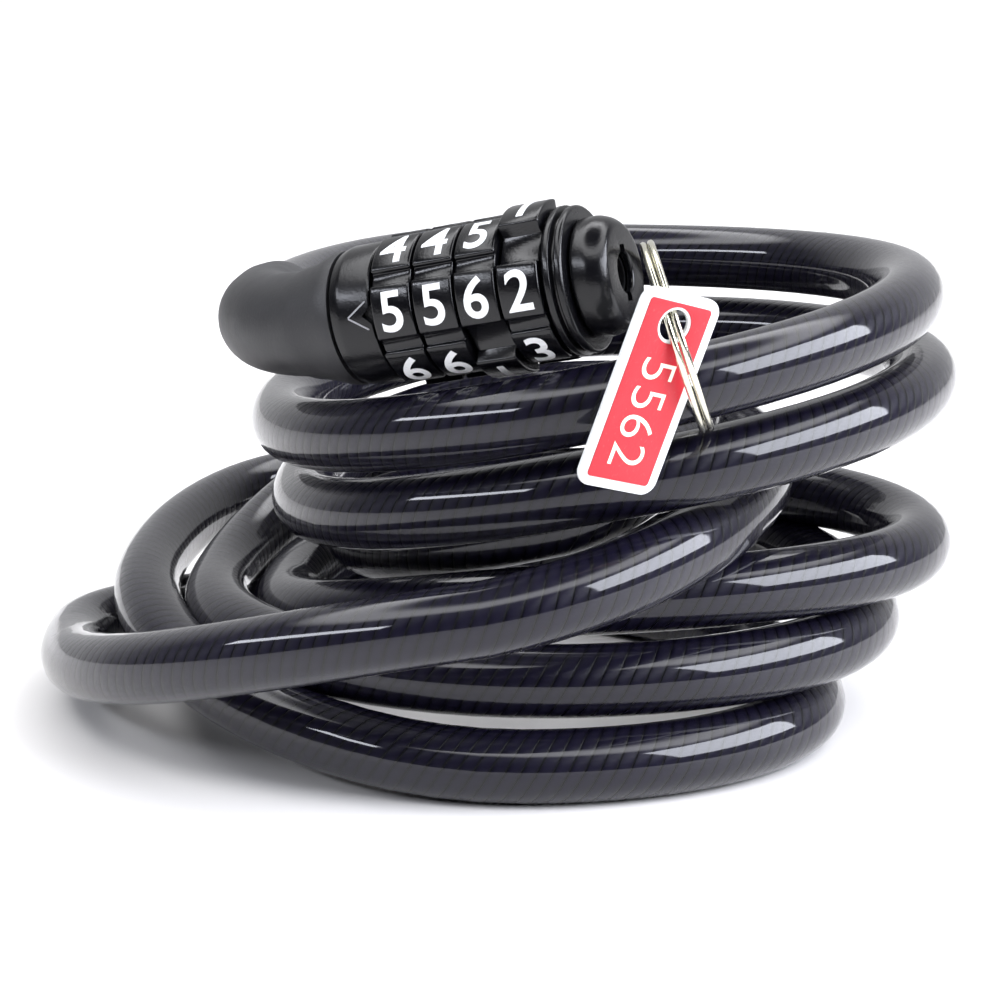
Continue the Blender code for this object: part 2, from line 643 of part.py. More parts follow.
def build_ring_and_tag(materials):
    """The split ring round the cable's top turn, and the code tag that hangs on it."""
    frame = ring_frame()
    foot = RING_CENTRE - frame.col[1] * RING_MEAN_R
    ring_axis = add_axis("ring_axis", Matrix.Translation(mm(foot + SHIFT)) @ frame.to_4x4())
    curve = bpy.data.curves.new("split_ring", "CURVE")
    curve.dimensions = "3D"
    curve.bevel_depth = mm(RING_WIRE_R)
    curve.bevel_resolution = 1
    curve.use_fill_caps = True
    count = 60
    spline = curve.splines.new("POLY")
    spline.points.add(count)
    pitch = 2.0 * RING_WIRE_R + RING_TURN_GAP
    for i in range(count + 1):
        turn = RING_TURNS * i / count
        angle = TAG_AT + 2.0 * math.pi * (turn - 0.5 * (RING_TURNS - 1.0))
        spline.points[i].co = (mm(RING_MEAN_R * math.cos(angle)), mm(RING_MEAN_R * math.sin(angle)),
                               mm(pitch * (turn - 0.5 * RING_TURNS)), 1.0)
    add_object("split_ring", curve, materials["ring"], Matrix.Translation((0, mm(RING_MEAN_R), 0)),
               ring_axis)

    spoke = frame @ Vector((math.cos(TAG_AT), math.sin(TAG_AT), 0.0))
    hole = RING_CENTRE + spoke * RING_MEAN_R
    tag_axis = add_axis("tag_axis", Matrix.Translation(mm(hole + SHIFT)) @ tag_frame().to_4x4())
    middle = TAG_HOLE_DOWN - 0.5 * TAG_L
    outline = rounded_rectangle(TAG_W, TAG_L, TAG_CORNER_R, middle)
    flat_plate("tag_plate", [outline, circle(TAG_HOLE_R, 20)], TAG_T, materials["tag"], parent=tag_axis)
    label = rounded_rectangle(TAG_W - 2.0 * LABEL_INSET, TAG_L - 2.0 * LABEL_INSET, 0.5, middle)
    lift = mm(0.5 * TAG_T + LABEL_GAP + 0.5 * LABEL_T)
    flat_plate("tag_label", [label, circle(TAG_HOLE_R + LABEL_HOLE_GAP, 20)], LABEL_T, materials["label"],
               Matrix.Translation((0, 0, lift)), tag_axis)


def rounded_rectangle(width, height, radius, middle):
    """Outline of a rounded rectangle whose middle is at (0, middle)."""
    points = []
    for corner in range(4):
        angle = 0.5 * math.pi * corner
        cx = (0.5 * width - radius) * (1 if corner in (0, 3) else -1)
        cy = (0.5 * height - radius) * (1 if corner in (0, 1) else -1) + middle
        for step in range(5):
            a = angle + 0.5 * math.pi * step / 4
            points.append((cx + radius * math.cos(a), cy + radius * math.sin(a)))
    return points


# ---------------------------------------------------------------- build

def main():
    """Clear the scene and build every piece."""
    for obj in list(bpy.data.objects):
        bpy.data.objects.remove(obj)
    for name in (OBJECT_NAME, "cutters"):
        bpy.context.scene.collection.children.link(bpy.data.collections.new(name))
    materials = {
        "shell": make_material("black_gloss_plastic", (0.02, 0.02, 0.022), 0.25),
        "wheel": make_material("wheel_plastic", (0.018, 0.018, 0.02), 0.3),
        "boot": make_material("soft_rubber", (0.035, 0.035, 0.04), 0.65),
        "jacket": make_material("clear_jacket", (0.03, 0.028, 0.045), 0.12),
        "rope": make_material("wire_rope", (0.35, 0.35, 0.36), 0.4, 1.0),
        "steel": make_material("plated_steel", (0.62, 0.62, 0.6), 0.3, 1.0),
        "brass": make_material("gate_brass", (0.72, 0.55, 0.25), 0.35, 1.0),
        "zinc": make_material("cast_zinc", (0.45, 0.45, 0.46), 0.5, 1.0),
        "ring": make_material("bright_ring_wire", (0.75, 0.74, 0.68), 0.22, 1.0),
        "tag": make_material("tag_white", (0.9, 0.9, 0.87), 0.4),
        "label": make_material("label_red", (0.85, 0.1, 0.12), 0.45),
    }
    head = add_axis("head_axis", head_matrix())
    route = cable_route()
    build_wheels(head, materials)
    build_fixed_head(head, materials)
    build_head_boot(route, materials)
    build_cable(route, materials)
    build_plug(materials)
    build_ring_and_tag(materials)


main()
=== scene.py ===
"""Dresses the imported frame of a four-wheel combination cable lock that lies open on its own coil."""
import logging
import math
from dataclasses import dataclass
from enum import Enum
from itertools import cycle
from typing import Iterable, Sequence

import bmesh
import bpy
from mathutils import Matrix, Vector


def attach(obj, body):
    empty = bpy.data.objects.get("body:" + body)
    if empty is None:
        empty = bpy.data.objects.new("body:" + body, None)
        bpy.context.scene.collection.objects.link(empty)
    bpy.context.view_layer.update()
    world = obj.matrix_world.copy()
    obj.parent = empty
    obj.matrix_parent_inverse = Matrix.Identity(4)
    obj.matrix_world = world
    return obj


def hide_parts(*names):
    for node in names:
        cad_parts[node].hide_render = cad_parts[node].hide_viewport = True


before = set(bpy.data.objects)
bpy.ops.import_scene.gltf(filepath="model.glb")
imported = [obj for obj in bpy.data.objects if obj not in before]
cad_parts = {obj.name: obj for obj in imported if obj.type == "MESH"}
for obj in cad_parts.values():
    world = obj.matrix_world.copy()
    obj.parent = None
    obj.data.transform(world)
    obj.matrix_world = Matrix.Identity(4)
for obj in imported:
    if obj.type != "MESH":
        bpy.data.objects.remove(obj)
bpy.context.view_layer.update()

LOG = logging.getLogger("cable_lock")
MM = 0.001
SHIFT = Vector((0.001653, -0.006016, -0.0001))   # the route's own origin, seen from the frame's


# ---------------------------------------------------------------- the cable's route

class Side(Enum):
    """Side of the coil on which the cable makes a quarter turn's end."""

    LEFT = "left"
    BACK = "back"
    RIGHT = "right"
    FRONT = "front"


@dataclass(frozen=True)
class Station:
    """A place of the cable's middle line, in metres, and its climb per quarter turn there."""

    side: Side
    x: float
    y: float
    z: float
    climb: float | None = None


# Each station's x, y, z and, where it is set, its climb; the sides follow one another round the coil.
PLACES: tuple[tuple[float, ...], ...] = (
    (-0.0330, -0.0140, 0.0602), (0.0080, 0.0460, 0.0600),
    (0.0595, 0.0000, 0.0623, 0.001), (0.0120, -0.0500, 0.0549, -0.014),
    (-0.0320, 0.0020, 0.0430, -0.001), (0.0140, 0.0460, 0.0478),
    (0.0620, 0.0000, 0.0502, 0.001), (0.0140, -0.0470, 0.0436, -0.013),
    (-0.0290, 0.0000, 0.0315, -0.001), (0.0020, 0.0360, 0.0380),
    (0.0280, 0.0010, 0.0425), (0.0080, -0.0320, 0.0348),
    (-0.0220, 0.0120, 0.0230), (0.0140, 0.0360, 0.0245),
    (0.0620, -0.0030, 0.0252), (0.0120, -0.0375, 0.0252, -0.004),
    (-0.0315, -0.0020, 0.0156), (0.0120, 0.0520, 0.0155),
    (0.0540, -0.0080, 0.0154), (0.0060, -0.0435, 0.0154),
    (-0.0425, 0.0000, 0.0158), (0.0000, 0.0500, 0.0330),
    (0.0380, -0.0040, 0.0378, -0.001), (-0.0020, -0.0600, 0.0290, -0.014),
    (-0.0645, 0.0040, 0.0074, -0.002), (-0.0060, 0.0360, 0.0051),
    (0.0450, -0.0180, 0.0051), (0.0030, -0.0485, 0.0051),
    (-0.0540, 0.0080, 0.0164, 0.006), (-0.0280, 0.0570, 0.0200, 0.0),
)
STATIONS = [Station(side, *place) for side, place in zip(cycle(Side), PLACES)]


@dataclass(frozen=True)
class HeadPose:
    """Where the lock head lies and how it is turned."""

    centre: Vector = Vector((-0.0020, -0.0395, 0.0671))
    yaw: float = math.radians(-22.0)
    tilt: float = math.radians(12.3)
    reading_turn: float = math.radians(-5.0)

    def axis(self) -> Vector:
        """Unit vector along the head, towards its mouth."""
        level = math.cos(self.tilt)
        return Vector((level * math.cos(self.yaw), level * math.sin(self.yaw), math.sin(self.tilt)))

    def point(self, s: float) -> Vector:
        """Point on the head's axis, s metres from the middle of the wheels, on the route's origin."""
        return self.centre + self.axis() * s

    def matrix(self) -> Matrix:
        """The head's frame: Z along its axis, X out through the reading row."""
        level = Vector((math.sin(self.yaw), -math.cos(self.yaw), 0.0))
        out = Matrix.Rotation(self.reading_turn, 3, self.axis()) @ level
        turn = Matrix((out, self.axis().cross(out), self.axis())).transposed().to_4x4()
        return Matrix.Translation(self.centre + SHIFT) @ turn


HEAD = HeadPose()


@dataclass(frozen=True)
class CableRoute:
    """The cable's smooth middle line from the head to the plug."""

    jacket_start: float = -0.0204
    bend_start: float = -0.0209
    end: Vector = Vector((0.0120, 0.0630, 0.0070))
    plug_direction: Vector = Vector((0.97, 0.24, 0.0)).normalized()
    plug_lead: float = 0.008
    steps: int = 16

    @staticmethod
    def blend(start: Vector | float, pull: Vector | float, end: Vector | float,
              end_pull: Vector | float, t: float) -> Vector | float:
        """Cubic between two places.

        Args:
            start: the first place.
            pull: its tangent.
            end: the last place.
            end_pull: its tangent.
            t: 0 at the first place and 1 at the last.

        Returns:
            The place at t.
        """
        return (start * (2 * t**3 - 3 * t**2 + 1) + pull * (t**3 - 2 * t**2 + t)
                + end * (3 * t**2 - 2 * t**3) + end_pull * (t**3 - t**2))

    def climbs(self) -> list[float]:
        """Climb at each station: its own, or an even one that never overshoots its neighbours."""
        result: list[float] = []
        for i, station in enumerate(STATIONS):
            if station.climb is not None:
                result.append(station.climb)
            elif i in (0, len(STATIONS) - 1):
                result.append(0.0)
            else:
                before = station.z - STATIONS[i - 1].z
                after = STATIONS[i + 1].z - station.z
                level = before * after <= 0.0
                result.append(0.0 if level else 2.0 * before * after / (before + after))
        return result

    def quarter(self, i: int, climbs: Sequence[float], t: float) -> Vector:
        """Point of quarter turn i at t, from 0 to 1."""
        a, b = STATIONS[i], STATIONS[i + 1]
        near, far = math.cos(0.5 * math.pi * t), math.sin(0.5 * math.pi * t)
        if a.side in (Side.LEFT, Side.RIGHT):
            x, y = b.x + (a.x - b.x) * near, a.y + (b.y - a.y) * far
        else:
            x, y = a.x + (b.x - a.x) * far, b.y + (a.y - b.y) * near
        return Vector((x, y, self.blend(a.z, climbs[i], b.z, climbs[i + 1], t)))

    def boot_points(self) -> list[Vector]:
        """The bend inside the head's boot, up to just past the first station."""
        start, first = HEAD.point(self.bend_start), STATIONS[0]
        corner = Vector((first.x, first.y, first.z))
        reach = (corner - start).length
        points = [
            self.blend(start, -HEAD.axis() * reach, corner, Vector((0.0, reach, 0.0)), i / self.steps)
            for i in range(self.steps)]
        climbs = self.climbs()
        return points + [self.quarter(0, climbs, j / self.steps) for j in range(3)]

    def points(self) -> list[Vector]:
        """The whole middle line from the jacket's start to the plug, in the frame's coordinates."""
        climbs = self.climbs()
        line = [HEAD.point(self.jacket_start)] + self.boot_points()
        line += [self.quarter(0, climbs, j / self.steps) for j in range(3, self.steps)]
        for i in range(1, len(STATIONS) - 1):
            line += [self.quarter(i, climbs, j / self.steps) for j in range(self.steps)]
        last = Vector((STATIONS[-1].x, STATIONS[-1].y, STATIONS[-1].z))
        end = self.end - self.plug_direction * self.plug_lead
        reach = (end - last).length
        line += [
            self.blend(last, Vector((reach, 0.0, 0.0)), end, self.plug_direction * reach, j / self.steps)
            for j in range(self.steps + 1)]
        return [point + SHIFT for point in line + [self.end]]

    @staticmethod
    def length(points: Sequence[Vector]) -> float:
        """Length of a polyline."""
        return sum((b - a).length for a, b in zip(points, points[1:]))


ROUTE = CableRoute()


# ---------------------------------------------------------------- node helpers

class Wiring:
    """Adds and joins nodes in one tree."""

    def __init__(self, tree: bpy.types.NodeTree) -> None:
        """Keep the tree."""
        self.tree = tree

    def add(self, kind: str, inputs: dict | None = None, **settings: object) -> bpy.types.Node:
        """Add a node.

        Args:
            kind: the node's type name.
            inputs: socket name or number to a value, or to another node's output socket.
            **settings: the node's own properties.

        Returns:
            The new node.
        """
        node = self.tree.nodes.new(kind)
        for name, value in settings.items():
            setattr(node, name, value)
        return self.feed(node, inputs or {})

    def feed(self, node: bpy.types.Node, inputs: dict) -> bpy.types.Node:
        """Set or join a node's inputs, given as add has them, and return the node."""
        for name, value in inputs.items():
            socket = node.inputs[name]
            if isinstance(value, bpy.types.NodeSocket):
                self.tree.links.new(value, socket)
            else:
                socket.default_value = value
        return node

    def math(self, operation: str, *values: object) -> bpy.types.NodeSocket:
        """Add a Math node and return its output."""
        return self.add("ShaderNodeMath", dict(enumerate(values)), operation=operation).outputs[0]


def shader_group(name: str, inputs: dict[str, float | str], outputs: Iterable[str]) \
        -> tuple[Wiring, bpy.types.Node, bpy.types.Node]:
    """Start a shader node group.

    Args:
        name: the group's name.
        inputs: socket name to its default value, or to "vector" for a vector socket.
        outputs: names of its float outputs.

    Returns:
        Its wiring, its input node and its output node.
    """
    tree = bpy.data.node_groups.new(name, "ShaderNodeTree")
    for label, default in inputs.items():
        vector = default == "vector"
        socket = tree.interface.new_socket(
            name=label, in_out="INPUT", socket_type="NodeSocketVector" if vector else "NodeSocketFloat")
        if not vector:
            socket.default_value = default
    for label in outputs:
        tree.interface.new_socket(name=label, in_out="OUTPUT", socket_type="NodeSocketFloat")
    wiring = Wiring(tree)
    return wiring, wiring.add("NodeGroupInput"), wiring.add("NodeGroupOutput")


def handling_group() -> bpy.types.NodeTree:
    """Soft smudges and fine scuffs that touched plastic and metal carry."""
    wiring, start, end = shader_group(
        "handling_marks", {"Place": "vector", "Smudge Scale": 120.0, "Low": 0.2, "High": 0.4},
        ("Roughness", "Scuff"))
    smudge = wiring.add("ShaderNodeTexNoise", {
        "Vector": start.outputs["Place"], "Scale": start.outputs["Smudge Scale"], "Detail": 4.0,
        "Roughness": 0.6})
    spread = wiring.add("ShaderNodeMapRange", {
        "Value": smudge.outputs[0], "From Min": 0.3, "From Max": 0.7, "To Min": start.outputs["Low"],
        "To Max": start.outputs["High"]})
    stretched = wiring.add("ShaderNodeMapping", {
        "Vector": start.outputs["Place"], "Scale": (1.0, 6.0, 2.0)})
    scuff = wiring.add("ShaderNodeTexNoise", {
        "Vector": stretched.outputs[0], "Scale": 900.0, "Detail": 2.0})
    sharp = wiring.add("ShaderNodeMapRange", {
        "Value": scuff.outputs[0], "From Min": 0.62, "From Max": 0.78})
    wiring.feed(end, {"Roughness": spread.outputs[0], "Scuff": sharp.outputs[0]})
    return wiring.tree


def grain_group() -> bpy.types.NodeTree:
    """Fine surface grain of a moulding or a casting."""
    wiring, start, end = shader_group("surface_grain", {"Place": "vector", "Scale": 3000.0}, ("Height",))
    grain = wiring.add("ShaderNodeTexNoise", {
        "Vector": start.outputs["Place"], "Scale": start.outputs["Scale"], "Detail": 3.0})
    wiring.feed(end, {"Height": grain.outputs[0]})
    return wiring.tree


def rope_group() -> bpy.types.NodeTree:
    """Laid strands round a cable, from its angle and its run: strand height, painted shade on the crests
    and in the grooves, and wires.
    """
    wiring, start, end = shader_group(
        "rope_lay", {"Lay": "vector", "Strands": 8.0, "Pitch": 0.0155, "Wires": 5.0},
        ("Crest Shade", "Groove Shade", "Height"))
    parts = wiring.add("ShaderNodeSeparateXYZ", {0: start.outputs["Lay"]})
    turn = wiring.math("DIVIDE", wiring.math("ARCTAN2", parts.outputs[1], parts.outputs[0]), 2.0 * math.pi)
    run = wiring.math("DIVIDE", parts.outputs[2], start.outputs["Pitch"])
    phase = wiring.math("MULTIPLY", wiring.math("ADD", turn, run), start.outputs["Strands"])
    inside = wiring.math("FRACT", phase)
    centred = wiring.math("ABSOLUTE", wiring.math("SUBTRACT", wiring.math("MULTIPLY", inside, 2.0), 1.0))
    # Each strand's round profile: it raises the bump, and as a colour factor it paints each crest lighter
    # and each flank darker, which is painted shade.
    strand = wiring.math("SQRT", wiring.math("SUBTRACT", 1.0, wiring.math("POWER", centred, 2.0)))
    # Painted shade: near 1 in the grooves between strands, where the base colour turns near-black.
    hollow = wiring.math("POWER", centred, 5.0)
    back = wiring.math(
        "MULTIPLY", wiring.math("SUBTRACT", turn, wiring.math("MULTIPLY", run, 3.0)),
        wiring.math("MULTIPLY", start.outputs["Strands"], start.outputs["Wires"]))
    wire = wiring.math("SINE", wiring.math("MULTIPLY", back, 2.0 * math.pi))
    height = wiring.math("ADD", strand, wiring.math("MULTIPLY", wire, 0.05))
    wiring.feed(end, {"Crest Shade": strand, "Groove Shade": hollow, "Height": height})
    return wiring.tree


# ---------------------------------------------------------------- finishes

class Groups:
    """The shared shader groups, built once."""

    handling: bpy.types.NodeTree
    grain: bpy.types.NodeTree
    rope: bpy.types.NodeTree

    @classmethod
    def build(cls) -> None:
        """Build all of them."""
        cls.handling, cls.grain, cls.rope = handling_group(), grain_group(), rope_group()


def start_material(name: str) -> tuple[bpy.types.Material, Wiring, bpy.types.Node]:
    """Start a material and return it with its wiring and its Principled shader."""
    material = bpy.data.materials.new(name)
    material.use_nodes = True
    return material, Wiring(material.node_tree), material.node_tree.nodes["Principled BSDF"]


@dataclass(frozen=True)
class Finish:
    """A moulded, cast, plated or painted surface with grain and handling marks."""

    name: str
    colour: tuple[float, float, float]
    worn: tuple[float, float, float]
    low: float
    high: float
    metallic: float = 0.0
    specular: float = 0.5
    coat: float = 0.0
    coat_roughness: float = 0.05
    grain_scale: float = 3000.0
    grain_depth: float = 0.00002
    smudge_scale: float = 120.0

    def build(self) -> bpy.types.Material:
        """Make a Principled material on Object coordinates."""
        material, wiring, shader = start_material(self.name)
        place = wiring.add("ShaderNodeTexCoord").outputs["Object"]
        marks = wiring.add(
            "ShaderNodeGroup", {"Place": place, "Smudge Scale": self.smudge_scale, "Low": self.low,
            "High": self.high}, node_tree=Groups.handling)
        tint = wiring.add(
            "ShaderNodeMix", {"Factor": marks.outputs["Scuff"], "A": (*self.colour, 1.0),
            "B": (*self.worn, 1.0)}, data_type="RGBA")
        grain = wiring.add(
            "ShaderNodeGroup", {"Place": place, "Scale": self.grain_scale}, node_tree=Groups.grain)
        bump = wiring.add("ShaderNodeBump", {
            "Height": grain.outputs["Height"], "Strength": 1.0, "Distance": self.grain_depth})
        wiring.feed(shader, {
            "Base Color": tint.outputs["Result"], "Roughness": marks.outputs["Roughness"],
            "Normal": bump.outputs["Normal"], "Metallic": self.metallic,
            "Specular IOR Level": self.specular, "Coat Weight": self.coat,
            "Coat Roughness": self.coat_roughness})
        return material


@dataclass(frozen=True)
class LaidFinish:
    """Laid wire rope seen through a clear glossy jacket, its strands painted lighter on their crests and
    darker on their flanks.
    """

    name: str
    # Colours: the strands' crests, painted lighter than their flanks, and the near-black painted shade in
    # the grooves between strands.
    strand: tuple[float, float, float]
    hollow: tuple[float, float, float]
    roughness: float = 0.28
    roughness_spread: float = 0.12
    specular: float = 0.10
    coat_roughness: float = 0.06
    coat_ior: float = 1.42
    strands: float = 8.0
    pitch: float = 0.0155
    depth: float = 0.00022

    def build(self) -> bpy.types.Material:
        """Make a Principled material that reads the sweep's own lay attribute."""
        material, wiring, shader = start_material(self.name)
        lay = wiring.add("ShaderNodeAttribute", attribute_name="lay")
        rope = wiring.add(
            "ShaderNodeGroup", {"Lay": lay.outputs["Vector"], "Strands": self.strands,
            "Pitch": self.pitch}, node_tree=Groups.rope)
        place = wiring.add("ShaderNodeTexCoord").outputs["Object"]
        cloud = wiring.add("ShaderNodeTexNoise", {"Vector": place, "Scale": 90.0, "Detail": 3.0})
        clouded = wiring.math("ADD", wiring.math("MULTIPLY", cloud.outputs[0], 0.8), 0.5)
        strength = wiring.math("MULTIPLY", rope.outputs["Crest Shade"], clouded)
        lit = wiring.math("MULTIPLY", strength, wiring.math("SUBTRACT", 1.0, rope.outputs["Groove Shade"]))
        # Base colour: the laid strand pattern and its cloudy tone are the rope's own; the lighter crests
        # and the near-black grooves are painted shade.
        shade = wiring.add(
            "ShaderNodeMix", {"Factor": lit, "A": (*self.hollow, 1.0), "B": (*self.strand, 1.0)},
            data_type="RGBA")
        bump = wiring.add("ShaderNodeBump", {
            "Height": rope.outputs["Height"], "Strength": 0.6, "Distance": self.depth})
        marks = wiring.add(
            "ShaderNodeGroup", {"Place": place, "Low": self.roughness,
            "High": self.roughness + self.roughness_spread}, node_tree=Groups.handling)
        wiring.feed(shader, {
            "Base Color": shade.outputs["Result"], "Roughness": marks.outputs["Roughness"],
            "Normal": bump.outputs["Normal"], "Metallic": 0.0, "Specular IOR Level": self.specular,
            "Coat Weight": 1.0, "Coat Roughness": self.coat_roughness, "Coat IOR": self.coat_ior})
        return material


class Finishes:
    """Every material of the lock, built once."""

    TABLE: tuple[Finish | LaidFinish, ...] = (
        Finish("shell_gloss", (0.003, 0.003, 0.004), (0.015, 0.015, 0.016), 0.16, 0.30, specular=0.35),
        Finish("wheel_gloss", (0.002, 0.002, 0.003), (0.012, 0.012, 0.013), 0.14, 0.28, specular=0.4),
        Finish("boot_soft", (0.016, 0.016, 0.018), (0.03, 0.03, 0.032), 0.42, 0.58,
               grain_depth=0.00004),
        Finish("number_white", (0.86, 0.87, 0.88), (0.6, 0.6, 0.6), 0.35, 0.5),
        Finish("pointer_grey", (0.30, 0.30, 0.32), (0.25, 0.25, 0.25), 0.3, 0.5),
        Finish("plated_steel", (0.55, 0.55, 0.54), (0.35, 0.35, 0.34), 0.2, 0.38, metallic=1.0),
        Finish("dark_steel", (0.08, 0.08, 0.085), (0.2, 0.2, 0.2), 0.3, 0.5, metallic=1.0),
        Finish("gate_brass", (0.62, 0.43, 0.16), (0.8, 0.6, 0.3), 0.25, 0.45, metallic=1.0),
        Finish("cast_hub", (0.32, 0.32, 0.33), (0.5, 0.5, 0.5), 0.4, 0.6, metallic=1.0,
               grain_depth=0.00005),
        Finish("ring_wire", (0.72, 0.70, 0.58), (0.45, 0.44, 0.36), 0.12, 0.26, metallic=1.0),
        Finish("tag_white", (0.74, 0.76, 0.76), (0.6, 0.6, 0.6), 0.25, 0.4, coat=0.3),
        Finish("label_red", (0.50, 0.012, 0.024), (0.45, 0.04, 0.05), 0.35, 0.5),
        Finish("print_cream", (0.90, 0.86, 0.70), (0.8, 0.7, 0.6), 0.4, 0.55),
        # Crest and groove colours of the strands; the grooves' near-black is painted shade.
        LaidFinish("smoky_jacket", (0.006, 0.005, 0.014), (0.0003, 0.0003, 0.001)),
    )
    made: dict[str, bpy.types.Material] = {}

    @classmethod
    def build(cls) -> None:
        """Build the shared groups and every material."""
        Groups.build()
        cls.made = {finish.name: finish.build() for finish in cls.TABLE}


# ---------------------------------------------------------------- making pieces

def link(obj: bpy.types.Object) -> bpy.types.Object:
    """Put an object into the scene."""
    bpy.context.scene.collection.objects.link(obj)
    return obj


def plain_mesh(obj: bpy.types.Object, name: str, place: Matrix | None = None) -> bpy.types.Object:
    """Turn an object with modifiers or a curve into a plain mesh with its place in its mesh.

    Args:
        obj: the object, which is removed.
        name: the result's name.
        place: matrix that its mesh takes.

    Returns:
        An unturned object at the origin.
    """
    graph = bpy.context.evaluated_depsgraph_get()
    mesh = bpy.data.meshes.new_from_object(obj.evaluated_get(graph))
    if place is not None:
        mesh.transform(place)
    bpy.data.objects.remove(obj)
    mesh.name = name
    return link(bpy.data.objects.new(name, mesh))


def cleaned(obj: bpy.types.Object, sharp_angle: float = 38.0) -> bpy.types.Object:
    """Merge doubles, point faces outwards and shade smooth up to an angle in degrees."""
    build = bmesh.new()
    build.from_mesh(obj.data)
    bmesh.ops.remove_doubles(build, verts=build.verts, dist=1e-6)
    bmesh.ops.recalc_face_normals(build, faces=build.faces)
    build.to_mesh(obj.data)
    build.free()
    obj.data.shade_smooth()
    obj.data.set_sharp_from_angle(angle=math.radians(sharp_angle))
    return obj


def dress(obj: bpy.types.Object, finish: str, slot: str, body: str, *nodes: str) -> bpy.types.Object:
    """Give a piece its finish, its body and the nodes it stands for.

    Args:
        obj: the piece.
        finish: name of its material.
        slot: not used.
        body: the CAD body it rides on.
        *nodes: CAD nodes that it replaces.

    Returns:
        The piece.
    """
    obj.data.materials.clear()
    obj.data.materials.append(Finishes.made[finish])
    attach(obj, body)
    if nodes:
        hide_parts(*nodes)
    LOG.info("%s: %s on %s, %d faces", obj.name, finish, body, len(obj.data.polygons))
    return obj


def rounded(profile: Sequence[tuple[float, float]], radius: float, closed: bool,
            steps: int = 4) -> list[tuple[float, float]]:
    """Round the corners of a profile.

    Args:
        profile: its corners.
        radius: how far from a corner the rounding starts, at most.
        closed: whether the last corner joins the first.
        steps: segments of each rounding.

    Returns:
        The rounded profile.
    """
    result: list[tuple[float, float]] = []
    count = len(profile)
    for i, corner in enumerate(profile):
        if not closed and i in (0, count - 1):
            result.append(corner)
            continue
        here = Vector(corner)
        before, after = Vector(profile[i - 1]), Vector(profile[(i + 1) % count])
        cut = min(radius, 0.45 * (before - here).length, 0.45 * (after - here).length)
        first = here + (before - here).normalized() * cut
        last = here + (after - here).normalized() * cut
        for j in range(steps + 1):
            t = j / steps
            point = first * (1 - t)**2 + here * (2 * t * (1 - t)) + last * t**2
            result.append((point.x, point.y))
    return result


def turned(name: str, profile: Sequence[tuple[float, float]], place: Matrix, fillet: float = 0.3,
           closed: bool = True, steps: int = 96) -> bpy.types.Object:
    """Turn a profile of (radius, height) corners in millimetres about Z.

    Args:
        name: the piece's name.
        profile: its corners; an open one starts and ends on the axis.
        place: matrix that the mesh takes.
        fillet: corner rounding in millimetres.
        closed: whether the profile is a closed ring.
        steps: segments round the axis.

    Returns:
        The turned piece.
    """
    points = rounded(profile, fillet, closed)
    vertices = [(r * MM * math.cos(2 * math.pi * k / steps), r * MM * math.sin(2 * math.pi * k / steps),
                 h * MM) for k in range(steps) for r, h in points]
    count = len(points)
    rows = count if closed else count - 1
    faces = []
    for k in range(steps):
        near, far = k * count, ((k + 1) % steps) * count
        faces += [(near + i, near + (i + 1) % count, far + (i + 1) % count, far + i) for i in range(rows)]
    mesh = bpy.data.meshes.new(name)
    mesh.from_pydata(vertices, [], faces)
    mesh.transform(place)
    return cleaned(link(bpy.data.objects.new(name, mesh)))


def plate(name: str, loops: Sequence[Sequence[tuple[float, float]]], thickness: float, edge: float,
          place: Matrix) -> bpy.types.Object:
    """Cut a plate with softened edges from flat outlines, in millimetres.

    Args:
        name: the piece's name.
        loops: its outline, then its holes.
        thickness: its full thickness.
        edge: how far its edges are rounded.
        place: matrix that the mesh takes.

    Returns:
        The plate.
    """
    curve = bpy.data.curves.new(name, "CURVE")
    curve.dimensions = "2D"
    curve.fill_mode = "BOTH"
    curve.extrude = (0.5 * thickness - edge) * MM
    curve.bevel_depth = edge * MM
    curve.bevel_resolution = 2
    curve.offset = -edge * MM
    for loop in loops:
        spline = curve.splines.new("POLY")
        spline.points.add(len(loop) - 1)
        for point, (x, y) in zip(spline.points, loop):
            point.co = (x * MM, y * MM, 0.0, 1.0)
        spline.use_cyclic_u = True
    return cleaned(plain_mesh(link(bpy.data.objects.new(name, curve)), name, place), 50.0)


def circle(radius: float, count: int = 48) -> list[tuple[float, float]]:
    """Points of a circle."""
    return [(radius * math.cos(2 * math.pi * i / count), radius * math.sin(2 * math.pi * i / count))
            for i in range(count)]


class Work(Enum):
    """What other solids do to a piece."""

    CUT = "DIFFERENCE"
    JOIN = "UNION"


def worked(obj: bpy.types.Object, work: Work, others: Sequence[bpy.types.Object]) -> bpy.types.Object:
    """Cut solids out of a piece or join them to it, and remove them.

    Args:
        obj: the piece.
        work: what the solids do.
        others: closed solids.

    Returns:
        The worked piece.
    """
    for other in others:
        modifier = obj.modifiers.new("work", "BOOLEAN")
        modifier.operation = work.value
        modifier.solver = "EXACT"
        modifier.object = other
    result = cleaned(plain_mesh(obj, obj.name), 30.0)
    for other in others:
        bpy.data.objects.remove(other)
    return result


def placed(build: bmesh.types.BMesh, name: str, place: Matrix) -> bpy.types.Object:
    """Make an object of a bmesh, which is freed, with its place in its mesh."""
    mesh = bpy.data.meshes.new(name)
    build.to_mesh(mesh)
    build.free()
    mesh.transform(place)
    return link(bpy.data.objects.new(name, mesh))


def gathered(name: str, meshes: Iterable[bpy.types.Mesh], place: Matrix) -> bpy.types.Object:
    """Gather meshes into one piece and remove them.

    Args:
        name: the piece's name.
        meshes: the meshes.
        place: matrix that the piece's mesh takes.

    Returns:
        The piece.
    """
    build = bmesh.new()
    for part in meshes:
        build.from_mesh(part)
        bpy.data.meshes.remove(part)
    return cleaned(placed(build, name, place), 30.0)


